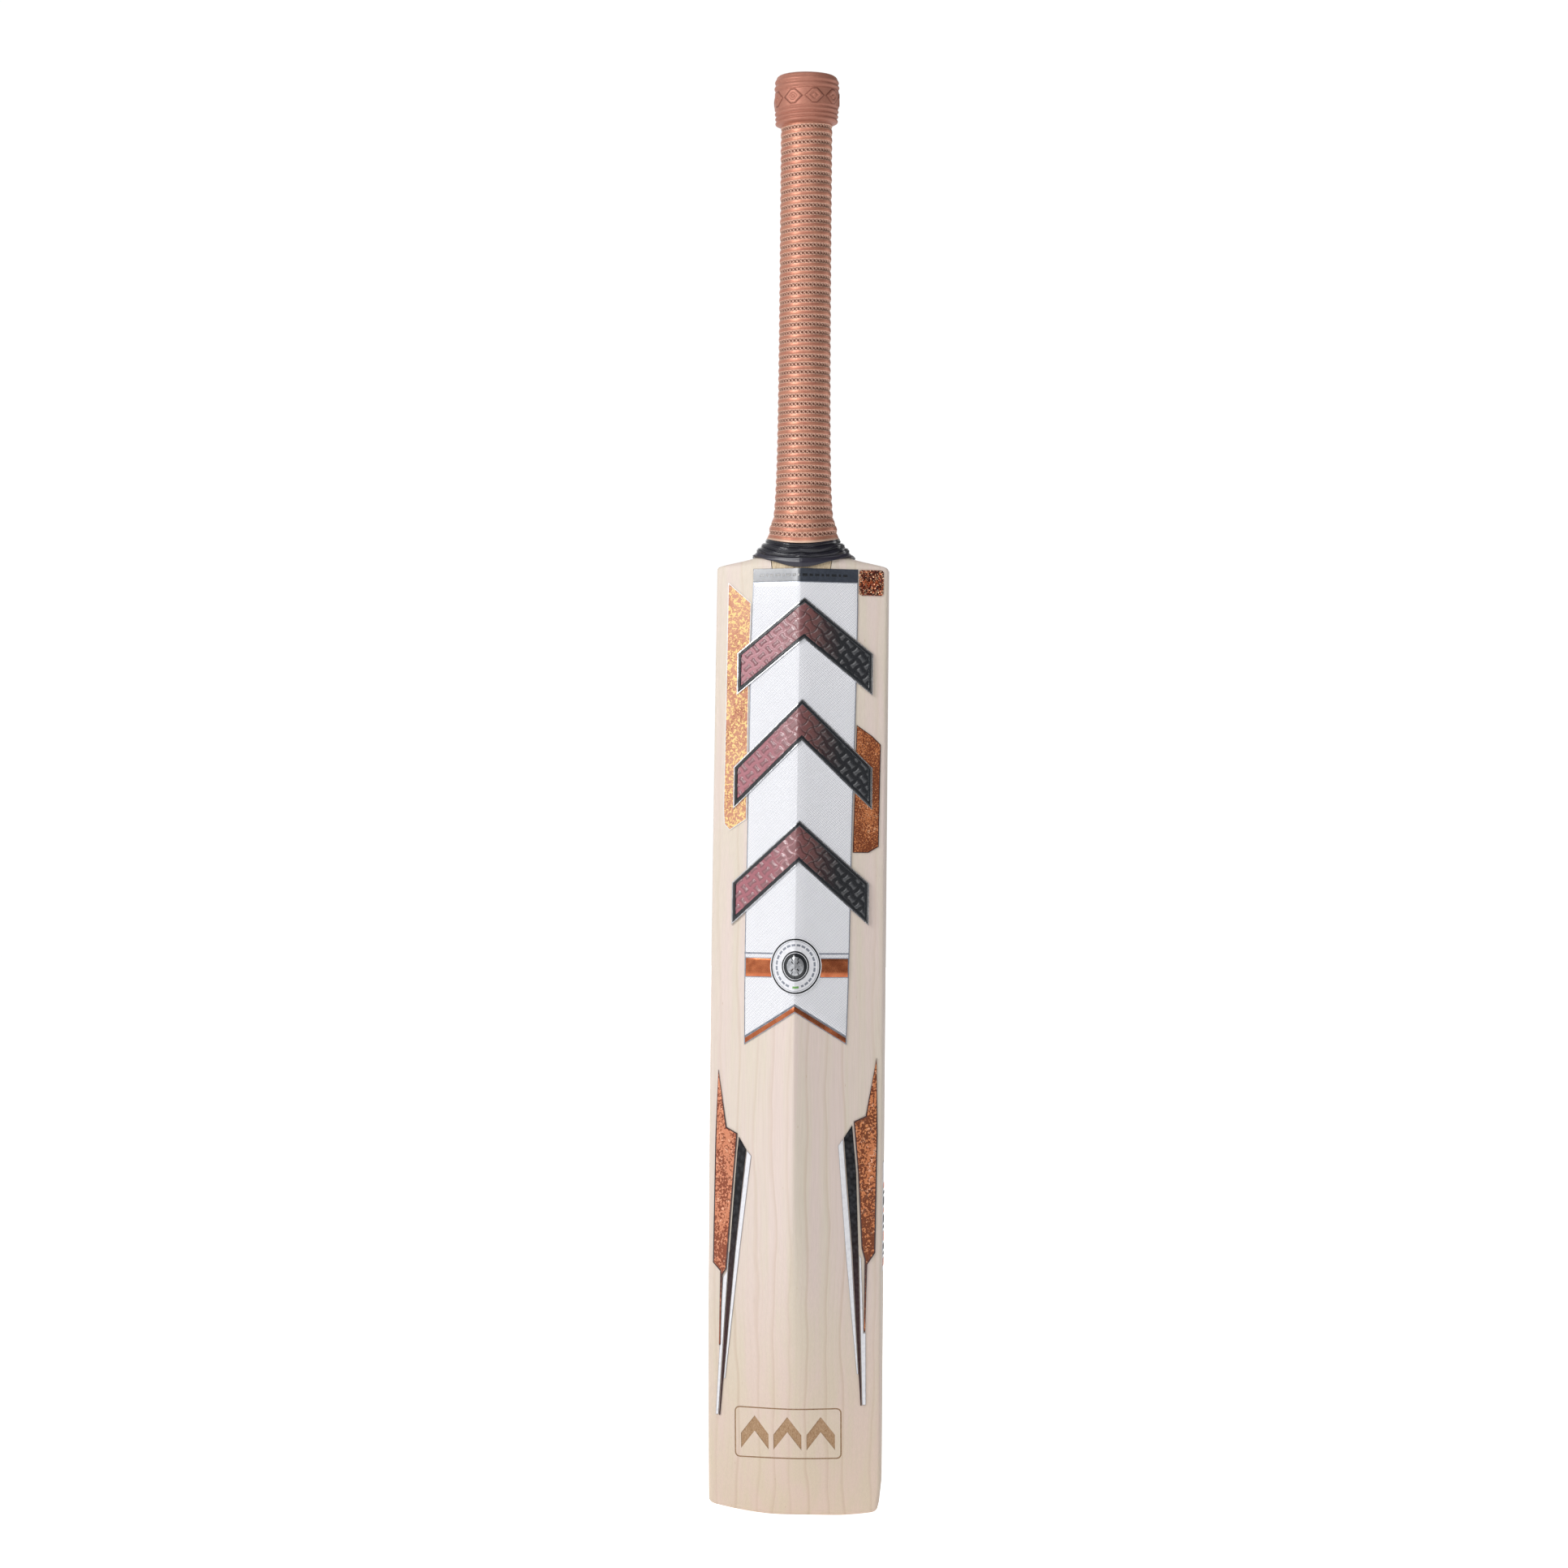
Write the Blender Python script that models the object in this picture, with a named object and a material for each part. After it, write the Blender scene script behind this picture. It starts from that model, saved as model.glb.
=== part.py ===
"""A cricket bat, standing on its toe. The back, with the spine, faces -Y and the striking face faces +Y.

The blade is one willow cleft. The handle is laminated from cane slips and rubber strips, and its lower
end is a V that is spliced into the blade. A layer of twine, a bound collar and a rubber grip go round it,
and thin stickers lie on the blade's back. All the design values below are in millimetres.
"""

import math

import bmesh
import bpy
from mathutils import Vector

METRE = 0.001

# Overall sizes
TOTAL_LENGTH = 860.0
CANE_TOP = 858.5
BLADE_HALF_WIDTH = 51.2
SHOULDER = 563.5
DEPTH_SHIFT = 14.0
GAP = 0.3

# Blade. Each list of (height above the toe, value) is a curve through the stations of the shape.
BOW = 4.0
FACE_CROWN = 1.2
FACET_HOLLOW = 0.12
FACE_CORNER = 3.0
BACK_CORNER = 2.2
BACK_CORNER_DEPTH = 0.94 * BACK_CORNER
EDGE_DEPTH = ((0, 24), (60, 31), (130, 36.5), (220, 38), (320, 36), (440, 30), (540, 24), (565, 22))
SPINE_DEPTH = (
    (0, 27), (50, 42), (110, 54), (180, 61), (250, 62), (330, 59), (430, 51), (520, 43), (565, 39.5),
)
RIDGE_SOFTNESS = ((0, 0.35), (120, 0.12), (200, 0.03), (300, 0.012))
TOE_LOW_POINT = 8.0
TOE_FLAT_HALF = 16.0
TOE_RISE_LEFT = 6.0
TOE_RISE_RIGHT = 2.6
TOE_FADE = 70.0
TOE_ROUNDING = 3.5
TOE_CORNER_TAPER = 1.9
TOE_TAPER_HEIGHT = 18.0

# Neck and handle shaft
HALF_WIDTH = (
    (SHOULDER, BLADE_HALF_WIDTH), (564.6, 50.2), (566.0, 45.5), (568.0, 36.5), (570.1, 29.2), (572.2, 27.0),
    (576.8, 22.6), (581.7, 18.7), (588.2, 17.0), (595, 15.0), (603, 14.2), (615, 13.5), (640, 12.9), (685, 12.5),
    (CANE_TOP, 12.1),
)
FACE_Y = (
    (565, 19), (571, 19.2), (582.2, 17.4), (600, 14.8), (640, 13.0), (700, 12.6), (CANE_TOP, 12.3),
)
RIDGE_Y = (
    (565, -20.5), (571, -20.2), (582.2, -17.6), (600, -14.8), (640, -13.0), (700, -12.6), (CANE_TOP, -12.3),
)
ROUND_FROM = 563.5
ROUND_TO = 575.0

# Splice
SPLICE_TIP = 432.0
SPLICE_SLOPE = 0.1316
SPLICE_TIP_HALF = 0.45
CHEEK_TOP = 578.7

# Handle laminations
SLIP_WIDTH = 8.2
SLIP_TOE = 0.5
CUT_BACK, CUT_FRONT = -80, 60
STRIP_SPACING = 6.3
STRIP_THICKNESS = 1.0
STRIP_BOTTOM = 446.0

# Wrappings: heights at the bat's sides, and how much lower each edge dips at the front and back
BINDING_TOP, BINDING_TOP_DIP = 583.2, 3.4
BINDING_BOTTOM, BINDING_BOTTOM_DIP = 570.2, 6.6
BINDING_PROFILE = (
    (0.0, 1.1), (0.20, 1.1), (0.26, 1.8), (0.31, 2.4), (0.37, 1.9), (0.44, 2.4), (0.51, 1.9), (0.58, 2.4),
    (0.66, 1.9), (0.80, 1.9), (0.92, 1.6), (1.0, 1.1),
)
BINDING_CLEARANCE = 0.65
TWINE_THICKNESS = 0.9
TWINE_TOP = 857.5
TWINE_BOTTOM = 584.7
GRIP_BOTTOM, GRIP_BOTTOM_DIP = 581.2, 3.4
GRIP_OUTER = (
    (581.2, 22.2), (584.2, 20.8), (589.0, 20.1), (594.5, 18.1), (603, 17.3), (615, 16.7), (640, 16.1),
    (685, 15.7), (760, 15.5), (820, 15.5),
)
CUFF = (
    (829.7, 15.6), (830.9, 17.9), (832.2, 19.0), (835.0, 19.2), (836.5, 18.8), (838.5, 19.2), (849.0, 19.3),
    (851.0, 19.0), (852.8, 19.6), (855.0, 19.2), (856.8, 18.9), (858.6, 17.8), (859.7, 16.2),
    (TOTAL_LENGTH, 14.6),
)
GRIP_DIP_FADE = 25.0
GRIP_OVER_TWINE = 1.55
GRIP_OVER_BINDING = 1.7
GRIP_MOUTH = 0.2

# Stickers
STICKER_LIFT = 0.3
STICKER_THICKNESS = 0.4
EMBLEM_LIFT = 1.0
EMBLEM_THICKNESS = 1.6
BAND_TOP = 563.0
BAND_LEFT = ((563.0, -28.9), (546, -29.1), (505, -29.8), (421, -30.0), (335, -30.6), (281, -30.3))
BAND_RIGHT = ((563.0, 33.7), (546, 33.9), (486, 33.4), (421, 32.3), (378, 31.8), (335, 31.4), (281, 30.2))
BAR_HEIGHT = 7.8
TAIL_APEX = 300.1
TAIL_TIP = 281.0
TAIL_STRIPE = 4.2
BADGE_CENTRE = (0.3, 327.2)
BADGE_RADIUS = 16.6
STRIPE_GAP = 0.35
STRIPE_MARGIN = 0.4
STRIPE_BOTTOM, STRIPE_TOP = 320.4, 331.9
EMBLEM_BOXES = {
    "emblem_upper": (-37.8, 43.2, 487.5, 545.5),
    "emblem_middle": (-39.0, 43.6, 419.5, 485.0),
    "emblem_lower": (-39.0, 42.4, 351.0, 413.0),
}
EMBLEM_ARM = 25.0
EDGE_STICKER = (146.0, 210.5)
EDGE_STICKER_HALF = 7.0
SQUARE_BADGE = (34.4, 48.8, 547.5, 562.8)
SQUARE_CORNER = 1.6

# Mesh fineness
NECK_HEIGHTS = [SHOULDER, 564.3, 565.2, 566.1, 567.2, 568.4, 569.8, 571.0, 572.6, 574.5, 576.6, CHEEK_TOP]
FACE_SEGMENTS = 10
COLUMNS = 36
STICKER_STEP = 26.0
STICKER_CUTS = (-24, 0, 24)


def along(stations, height):
    """The value at a height on a smooth curve through the stations that never overshoots them."""
    if height <= stations[0][0]:
        return stations[0][1]
    if height >= stations[-1][0]:
        return stations[-1][1]
    slopes = [(b[1] - a[1]) / (b[0] - a[0]) for a, b in zip(stations, stations[1:])]

    def tangent(i):
        if i == 0:
            return slopes[0]
        if i == len(slopes):
            return slopes[-1]
        before, after = slopes[i - 1], slopes[i]
        return 0.0 if before * after <= 0 else 2 * before * after / (before + after)

    i = max(k for k, station in enumerate(stations[:-1]) if station[0] <= height)
    span = stations[i + 1][0] - stations[i][0]
    t = (height - stations[i][0]) / span
    start, end = stations[i][1], stations[i + 1][1]
    return (
        (2 * t**3 - 3 * t**2 + 1) * start
        + (t**3 - 2 * t**2 + t) * span * tangent(i)
        + (3 * t**2 - 2 * t**3) * end
        + (t**3 - t**2) * span * tangent(i + 1)
    )


def smoothstep(low, high, value):
    t = min(1.0, max(0.0, (value - low) / (high - low)))
    return t * t * (3 - 2 * t)


# --- Shape of the wood -------------------------------------------------------------------------------


def half_width(z):
    return along(HALF_WIDTH, z)


def face_y(z):
    if z < FACE_Y[0][0]:
        return FACE_Y[0][1] - BOW * math.sin(math.pi * z / FACE_Y[0][0])
    return along(FACE_Y, z)


def ridge_y(z):
    if z < RIDGE_Y[0][0]:
        return face_y(z) - along(SPINE_DEPTH, z)
    return along(RIDGE_Y, z)


def back_y(x, z):
    """The blade's back surface: highest at the spine, falling in two slightly hollow facets to the edges."""
    edge = face_y(z) - along(EDGE_DEPTH, z)
    softness = along(RIDGE_SOFTNESS, z)
    t = min(1.0, abs(x) / half_width(z))
    t = (math.hypot(t, softness) - softness) / (math.hypot(1.0, softness) - softness)
    return edge + (ridge_y(z) - edge) * (1 - t) * (1 - FACET_HOLLOW * t)


def front_y(x, z):
    """The blade's striking face, slightly crowned from side to side."""
    return face_y(z) - FACE_CROWN * (x / half_width(z)) ** 2


def corner_points(x, y, radius, start, end):
    """Three points of the arc of a corner, from one angle to the other in degrees."""
    for k in range(3):
        angle = math.radians(start + (end - start) * k / 2)
        yield x + radius * math.cos(angle), y + radius * math.sin(angle)


def blade_ring(z):
    """The blade's outline at one height, in COLUMNS points from the face's right end round to the left."""
    w = half_width(z)
    inner = w - FACE_CORNER
    across = [inner - 2 * inner * k / FACE_SEGMENTS for k in range(FACE_SEGMENTS + 1)]
    face_corner_y = front_y(inner, z) - FACE_CORNER
    back_corner_y = back_y(w - BACK_CORNER, z) + BACK_CORNER_DEPTH
    side = list(corner_points(-inner, face_corner_y, FACE_CORNER, 120, 180))
    side.append((-w, (face_corner_y + back_corner_y) / 2))
    side += list(corner_points(-(w - BACK_CORNER), back_corner_y, BACK_CORNER, 180, 240))
    ring = [(x, front_y(x, z)) for x in across]
    ring += side
    ring += [(-x, back_y(x, z)) for x in across]
    ring += [(-x, y) for x, y in reversed(side)]
    return ring


def round_ring(z):
    """The oval outline of the neck and shaft, with the same number and order of points."""
    middle = (face_y(z) + ridge_y(z)) / 2
    depth = (face_y(z) - ridge_y(z)) / 2
    ring = []
    for k in range(COLUMNS):
        angle = math.radians(90 + (k - FACE_SEGMENTS / 2) * 360 / COLUMNS)
        ring.append((half_width(z) * math.cos(angle), middle + depth * math.sin(angle)))
    return ring


def wood_ring(z):
    share = smoothstep(ROUND_FROM, ROUND_TO, z)
    if share >= 1:
        return round_ring(z)
    blade = blade_ring(z)
    if share <= 0:
        return blade
    oval = round_ring(z)
    return [(a + (c - a) * share, b + (d - b) * share) for (a, b), (c, d) in zip(blade, oval)]


def wood_radius(angle, z):
    """How far the wood reaches from the handle's axis in one direction, at one height."""
    ring = wood_ring(z)
    dx, dy = math.cos(angle), math.sin(angle)
    best = 0.0
    for (ax, ay), (bx, by) in zip(ring, ring[1:] + ring[:1]):
        ex, ey = bx - ax, by - ay
        cross = dx * ey - dy * ex
        if abs(cross) < 1e-9:
            continue
        reach = (ax * ey - ay * ex) / cross
        share = (ax * dy - ay * dx) / cross
        if -1e-6 <= share <= 1 + 1e-6:
            best = max(best, reach)
    return best


def off_wood(angle, z, offset):
    """(radius, height) of a point standing off the wood's surface, square to its slope."""
    step = 0.5
    radius = wood_radius(angle, z)
    slope = (wood_radius(angle, z + step) - wood_radius(angle, z - step)) / (2 * step)
    scale = offset / math.hypot(1.0, slope)
    return radius + scale, z - slope * scale


def toe_height(x):
    """How far the toe's curve has risen at a distance from its lowest stretch."""
    away = abs(x - TOE_LOW_POINT) - TOE_FLAT_HALF
    if away <= 0:
        return 0.0
    left = x < TOE_LOW_POINT
    rise = TOE_RISE_LEFT if left else TOE_RISE_RIGHT
    reach = BLADE_HALF_WIDTH + (TOE_LOW_POINT if left else -TOE_LOW_POINT) - TOE_FLAT_HALF
    return rise * (away / reach) ** 1.7


def toe_point(x, y, z, inset):
    """A point of the blade near the toe: drawn in by the rounding, tapered at one corner and lifted."""
    middle = face_y(z) - along(EDGE_DEPTH, z) / 2
    x *= 1 - inset / BLADE_HALF_WIDTH
    y = middle + (y - middle) * (1 - 2 * inset / along(EDGE_DEPTH, z))
    if x > 0:
        x -= TOE_CORNER_TAPER * max(0.0, 1 - z / TOE_TAPER_HEIGHT) * x / BLADE_HALF_WIDTH
    lift = toe_height(x) * max(0.0, 1 - z / TOE_FADE)
    return x, y, z + lift


# --- Mesh tools --------------------------------------------------------------------------------------


def material(name, color, roughness, metallic=0.0):
    made = bpy.data.materials.new(name)
    made.use_nodes = True
    shader = made.node_tree.nodes["Principled BSDF"]
    shader.inputs["Base Color"].default_value = (*color, 1.0)
    shader.inputs["Roughness"].default_value = roughness
    shader.inputs["Metallic"].default_value = metallic
    made.diffuse_color = (*color, 1.0)
    return made


def place(bm, x, y, z):
    """A vertex from design millimetres, moved so that the bat's box is centred front to back."""
    return bm.verts.new((x * METRE, (y + DEPTH_SHIFT) * METRE, z * METRE))


def finish(name, bm, finish_material, sharp_degrees=35):
    bmesh.ops.recalc_face_normals(bm, faces=bm.faces)
    mesh = bpy.data.meshes.new(name)
    bm.to_mesh(mesh)
    bm.free()
    mesh.shade_smooth()
    mesh.set_sharp_from_angle(angle=math.radians(sharp_degrees))
    mesh.materials.append(finish_material)
    made = bpy.data.objects.new(name, mesh)
    bpy.context.collection.objects.link(made)
    return made


def skin(bm, rings):
    """Joins rings of vertices, each a closed loop, with quads."""
    for lower, upper in zip(rings, rings[1:]):
        count = len(lower)
        for k in range(count):
            bm.faces.new((lower[k], lower[(k + 1) % count], upper[(k + 1) % count], upper[k]))


def strip_cap(bm, ring):
    """Closes a blade ring with a strip of quads from face to back, so that a curved toe stays smooth."""
    n = FACE_SEGMENTS
    side = (COLUMNS - 2 * (n + 1)) // 2
    face = ring[: n + 1]
    left = ring[n + 1 : n + 1 + side]
    back = ring[n + 1 + side : 2 * n + 2 + side]
    right = ring[2 * n + 2 + side :]
    for k in range(n):
        bm.faces.new((face[k], face[k + 1], back[n - k - 1], back[n - k]))
    bm.faces.new([face[n], *left, back[0]])
    bm.faces.new([back[n], *right, face[0]])


def wood_solid(name, heights, toe):
    """A solid of the wood's outer shape through the given heights, with a rounded toe if wanted."""
    bm = bmesh.new()
    rings = []
    if toe:
        for degrees in (0, 35, 65):
            turn = math.radians(degrees)
            inset = TOE_ROUNDING * (1 - math.sin(turn))
            z = TOE_ROUNDING * (1 - math.cos(turn))
            rings.append([place(bm, *toe_point(x, y, z, inset)) for x, y in wood_ring(z)])
    for z in heights:
        rings.append([place(bm, *toe_point(x, y, z, 0.0)) for x, y in wood_ring(z)])
    skin(bm, rings)
    if toe:
        strip_cap(bm, rings[0])
    else:
        bm.faces.new(rings[0])
    bm.faces.new(rings[-1])
    return finish(name, bm, WILLOW)


def prism(name, outline, y_low, y_high):
    """A solid with an outline in x and z, extruded from front to back."""
    bm = bmesh.new()
    near = [place(bm, x, y_low, z) for x, z in outline]
    far = [place(bm, x, y_high, z) for x, z in outline]
    bm.faces.new(near)
    bm.faces.new(far)
    skin(bm, [near, far])
    return finish(name, bm, WILLOW)


def as_cutter(cutter):
    cutter.hide_render = True
    cutter.display_type = "WIRE"
    return cutter


def boolean(target, cutter, operation):
    step = target.modifiers.new(operation.lower(), "BOOLEAN")
    step.operation = operation
    step.solver = "EXACT"
    step.object = cutter


def ring_angles():
    return [2 * math.pi * k / COLUMNS for k in range(COLUMNS)]


def dipped(level, dip, angle):
    """An edge's height: its full level at the bat's sides, lower by dip at the front and back."""
    return level - dip * math.sin(angle) ** 2


def sleeve(name, outside, inside, finish_material):
    """A tube round the handle. outside and inside are lists of functions from angle to (radius, height)."""
    bm = bmesh.new()
    rings = []
    for profile in outside + inside[::-1]:
        ring = []
        for angle in ring_angles():
            radius, z = profile(angle)
            ring.append(place(bm, radius * math.cos(angle), radius * math.sin(angle), z))
        rings.append(ring)
    skin(bm, rings + rings[:1])
    return finish(name, bm, finish_material)


# --- Blade and handle --------------------------------------------------------------------------------


def splice_half(z):
    """Half the width of the splice's V at a height."""
    return max(SPLICE_TIP_HALF, (z - SPLICE_TIP) * SPLICE_SLOPE)


def splice_outline(clearance):
    top = CANE_TOP + 20
    low = splice_half(SPLICE_TIP) + clearance
    high = splice_half(top) + clearance
    bottom = SPLICE_TIP - clearance
    return [(-low, bottom), (low, bottom), (high, top), (-high, top)]


def build_blade():
    steps = [TOE_ROUNDING, 18, 40, 70, 100, 130, 160, 190, 220, 250, 280, 320, 360, 400, 440, 480, 520, 548]
    steps += NECK_HEIGHTS
    blade = wood_solid("blade", steps, toe=True)
    slot = as_cutter(prism("splice_cutter", splice_outline(GAP), CUT_BACK, CUT_FRONT))
    boolean(blade, slot, "DIFFERENCE")


def handle_envelope(name):
    heights = [SPLICE_TIP - 2, 480, 520, 548, *NECK_HEIGHTS]
    heights += [581.7, 585.2, 588.2, 595, 603, 615, 640, 685, 770, CANE_TOP]
    return wood_solid(name, heights, toe=False)


def slip_outline(column):
    """Outline in x and z of one cane slip's share of the splice and shaft: column -1, 0 or 1."""
    top = CANE_TOP + 10
    edge = SLIP_WIDTH / 2
    if column == 0:
        half = edge - GAP / 2
        crossing = SPLICE_TIP + half / SPLICE_SLOPE
        low = SPLICE_TIP_HALF
        bottom = SPLICE_TIP + low / SPLICE_SLOPE
        return [(-low, bottom), (low, bottom), (half, crossing), (half, top), (-half, top), (-half, crossing)]
    inner = edge + GAP / 2
    bottom = SPLICE_TIP + (inner + SLIP_TOE) / SPLICE_SLOPE
    return [
        (column * inner, bottom),
        (column * (inner + SLIP_TOE), bottom),
        (column * splice_half(top), top),
        (column * inner, top),
    ]


def build_cane():
    """Four rows of three slips, front to back, with a rubber strip's room between the rows."""
    room = STRIP_THICKNESS / 2 + GAP
    walls = [CUT_FRONT, STRIP_SPACING, 0, -STRIP_SPACING, CUT_BACK]
    columns = {"left": -1, "centre": 0, "right": 1}
    for row in range(4):
        high = walls[row] - (room if row else 0)
        low = walls[row + 1] + (room if row < 3 else 0)
        for side, column in columns.items():
            name = f"cane_row{row + 1}_{side}"
            slip = prism(name, slip_outline(column), low, high)
            slip.data.materials.clear()
            slip.data.materials.append(CANE)
            boolean(slip, ENVELOPE, "INTERSECT")


def build_strips():
    top = CANE_TOP + 10
    outline = [
        (-splice_half(STRIP_BOTTOM), STRIP_BOTTOM),
        (splice_half(STRIP_BOTTOM), STRIP_BOTTOM),
        (splice_half(top), top),
        (-splice_half(top), top),
    ]
    for name, y in (("front", STRIP_SPACING), ("middle", 0), ("back", -STRIP_SPACING)):
        strip = prism(f"rubber_strip_{name}", outline, y - STRIP_THICKNESS / 2, y + STRIP_THICKNESS / 2)
        strip.data.materials.clear()
        strip.data.materials.append(SPRING_RUBBER)
        boolean(strip, ENVELOPE, "INTERSECT")


# --- Wrappings ---------------------------------------------------------------------------------------


def binding_profile(share, offset):
    def profile(angle):
        top = dipped(BINDING_TOP, BINDING_TOP_DIP, angle)
        bottom = dipped(BINDING_BOTTOM, BINDING_BOTTOM_DIP, angle)
        return off_wood(angle, top + (bottom - top) * share, offset)

    return profile


def build_neck_binding():
    outside = [binding_profile(share, offset) for share, offset in BINDING_PROFILE]
    inside = [binding_profile(k / 12, BINDING_CLEARANCE) for k in range(13)]
    sleeve("neck_binding", outside, inside, BINDING_BLACK)


def twine_profile(z, offset):
    def profile(angle):
        return wood_radius(angle, z) + offset, z

    return profile


def build_twine():
    heights = [TWINE_TOP, 770, 685, 640, 615, 603, 595, 588.2, TWINE_BOTTOM]
    outside = [twine_profile(z, GAP + TWINE_THICKNESS) for z in heights]
    inside = [twine_profile(z, GAP) for z in heights]
    sleeve("handle_twine", outside, inside, TWINE)


def grip_profile(level, radius):
    """A ring of the grip: its bottom edge dips at the front and back, and the dip fades out above."""
    fade = max(0.0, 1 - (level - GRIP_BOTTOM) / GRIP_DIP_FADE)

    def profile(angle):
        return radius, dipped(level, GRIP_BOTTOM_DIP * fade, angle)

    return profile


def grip_inner(level, clearance):
    fade = max(0.0, 1 - (level - GRIP_BOTTOM) / GRIP_DIP_FADE)

    def profile(angle):
        z = dipped(level, GRIP_BOTTOM_DIP * fade, angle)
        return wood_radius(angle, z) + clearance, z

    return profile


def build_grip():
    outside = [grip_profile(z, r) for z, r in reversed(GRIP_OUTER + CUFF)]
    inside = [grip_inner(TOTAL_LENGTH, GRIP_OVER_TWINE + GRIP_MOUTH)]
    inside += [grip_inner(z, GRIP_OVER_TWINE) for z in (856, 770, 685, 640, 615, 603, 595, 590.2)]
    inside.append(grip_inner(586.2, GRIP_OVER_TWINE + GRIP_MOUTH / 2))
    inside += [grip_inner(z, GRIP_OVER_BINDING) for z in (584.2, GRIP_BOTTOM)]
    sleeve("grip_sleeve", outside, inside, GRIP_COPPER)


# --- Stickers ----------------------------------------------------------------------------------------


def drape(name, outline, finish_material, lift=STICKER_LIFT, thickness=STICKER_THICKNESS):
    """A thin solid with an outline in x and z, laid over the blade's back at a height above the wood."""
    bm = bmesh.new()
    bm.faces.new([bm.verts.new((x, 0, z)) for x, z in outline])
    xs = [x for x, _ in outline]
    zs = [z for _, z in outline]
    cuts = [((x, 0, 0), (1, 0, 0)) for x in STICKER_CUTS if min(xs) + 1 < x < max(xs) - 1]
    rows = int((max(zs) - min(zs)) / STICKER_STEP)
    for k in range(1, rows + 1):
        height = min(zs) + (max(zs) - min(zs)) * k / (rows + 1)
        cuts.append(((0, 0, height), (0, 0, 1)))
    for point, normal in cuts:
        everything = bm.verts[:] + bm.edges[:] + bm.faces[:]
        bmesh.ops.bisect_plane(bm, geom=everything, dist=1e-4, plane_co=point, plane_no=normal)
    bmesh.ops.triangulate(bm, faces=bm.faces)
    lower = bm.verts[:]
    upper_geometry = bmesh.ops.extrude_face_region(bm, geom=bm.faces[:])["geom"]
    upper = [v for v in upper_geometry if isinstance(v, bmesh.types.BMVert)]
    for verts, height in ((lower, lift), (upper, lift + thickness)):
        for v in verts:
            x, z = v.co.x, v.co.z
            v.co = Vector((x, back_y(x, z) - height + DEPTH_SHIFT, z)) * METRE
    return finish(name, bm, finish_material)


def band_edge(stations, z):
    return along(tuple(reversed(stations)), z)


def tail_line(x):
    """The swallowtail's lower edge: highest at the spine and falling to both tips."""
    centre = BADGE_CENTRE[0]
    reach = band_edge(BAND_RIGHT, TAIL_TIP) - centre
    return TAIL_APEX - (TAIL_APEX - TAIL_TIP) * abs(x - centre) / reach


def build_band():
    bottom = TAIL_STRIPE + GAP
    left_x, right_x = BAND_LEFT[-1][1], BAND_RIGHT[-1][1]
    outline = [(x, z) for z, x in ((BAND_TOP - BAR_HEIGHT - GAP, BAND_LEFT[0][1]), *BAND_LEFT[1:-1])]
    outline.append((left_x, tail_line(left_x) + bottom))
    outline.append((BADGE_CENTRE[0], TAIL_APEX + bottom))
    outline.append((right_x, tail_line(right_x) + bottom))
    outline += [(x, z) for z, x in reversed(BAND_RIGHT[1:-1])]
    outline.append((BAND_RIGHT[0][1], BAND_TOP - BAR_HEIGHT - GAP))
    drape("spine_band", outline, BAND_WHITE)
    tail = [(left_x, tail_line(left_x)), (BADGE_CENTRE[0], TAIL_APEX), (right_x, tail_line(right_x))]
    tail += [(x, z + TAIL_STRIPE) for x, z in reversed(tail)]
    drape("swallowtail_stripe", tail, COPPER_FOIL)
    left, right = BAND_LEFT[0][1], BAND_RIGHT[0][1]
    low = BAND_TOP - BAR_HEIGHT
    drape("top_bar", [(left, low), (right, low), (right, BAND_TOP), (left, BAND_TOP)], SLATE)


def build_emblems():
    """Three raised chevrons, point up, one above the other."""
    for name, (left, right, bottom, top) in EMBLEM_BOXES.items():
        middle = (left + right) / 2
        arm_foot = bottom + EMBLEM_ARM
        outline = [
            (left, bottom), (middle, top - EMBLEM_ARM), (right, bottom),
            (right, arm_foot), (middle, top), (left, arm_foot),
        ]
        drape(name, outline, EMBLEM_RESIN, EMBLEM_LIFT, EMBLEM_THICKNESS)


def build_panels():
    left = [(-44.2, 555.2), (-44.5, 482), (-45.0, 419), (-44.4, 410.6), (-41.0, 406.8), (-30.6, 413.5)]
    left += [(-30.6, 470), (-30.4, 505), (-29.7, 542.5)]
    drape("flake_panel_left", left, COPPER_FLAKE)
    right = [(34.0, 470), (43.2, 463.5), (48.2, 458.5), (47.6, 397.8), (41.6, 394.2), (32.6, 394.2)]
    drape("flake_panel_right", right, COPPER_FLAKE)


def circle(centre, radius, count):
    turns = [2 * math.pi * k / count for k in range(count)]
    return [(centre[0] + radius * math.cos(t), centre[1] + radius * math.sin(t)) for t in turns]


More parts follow.
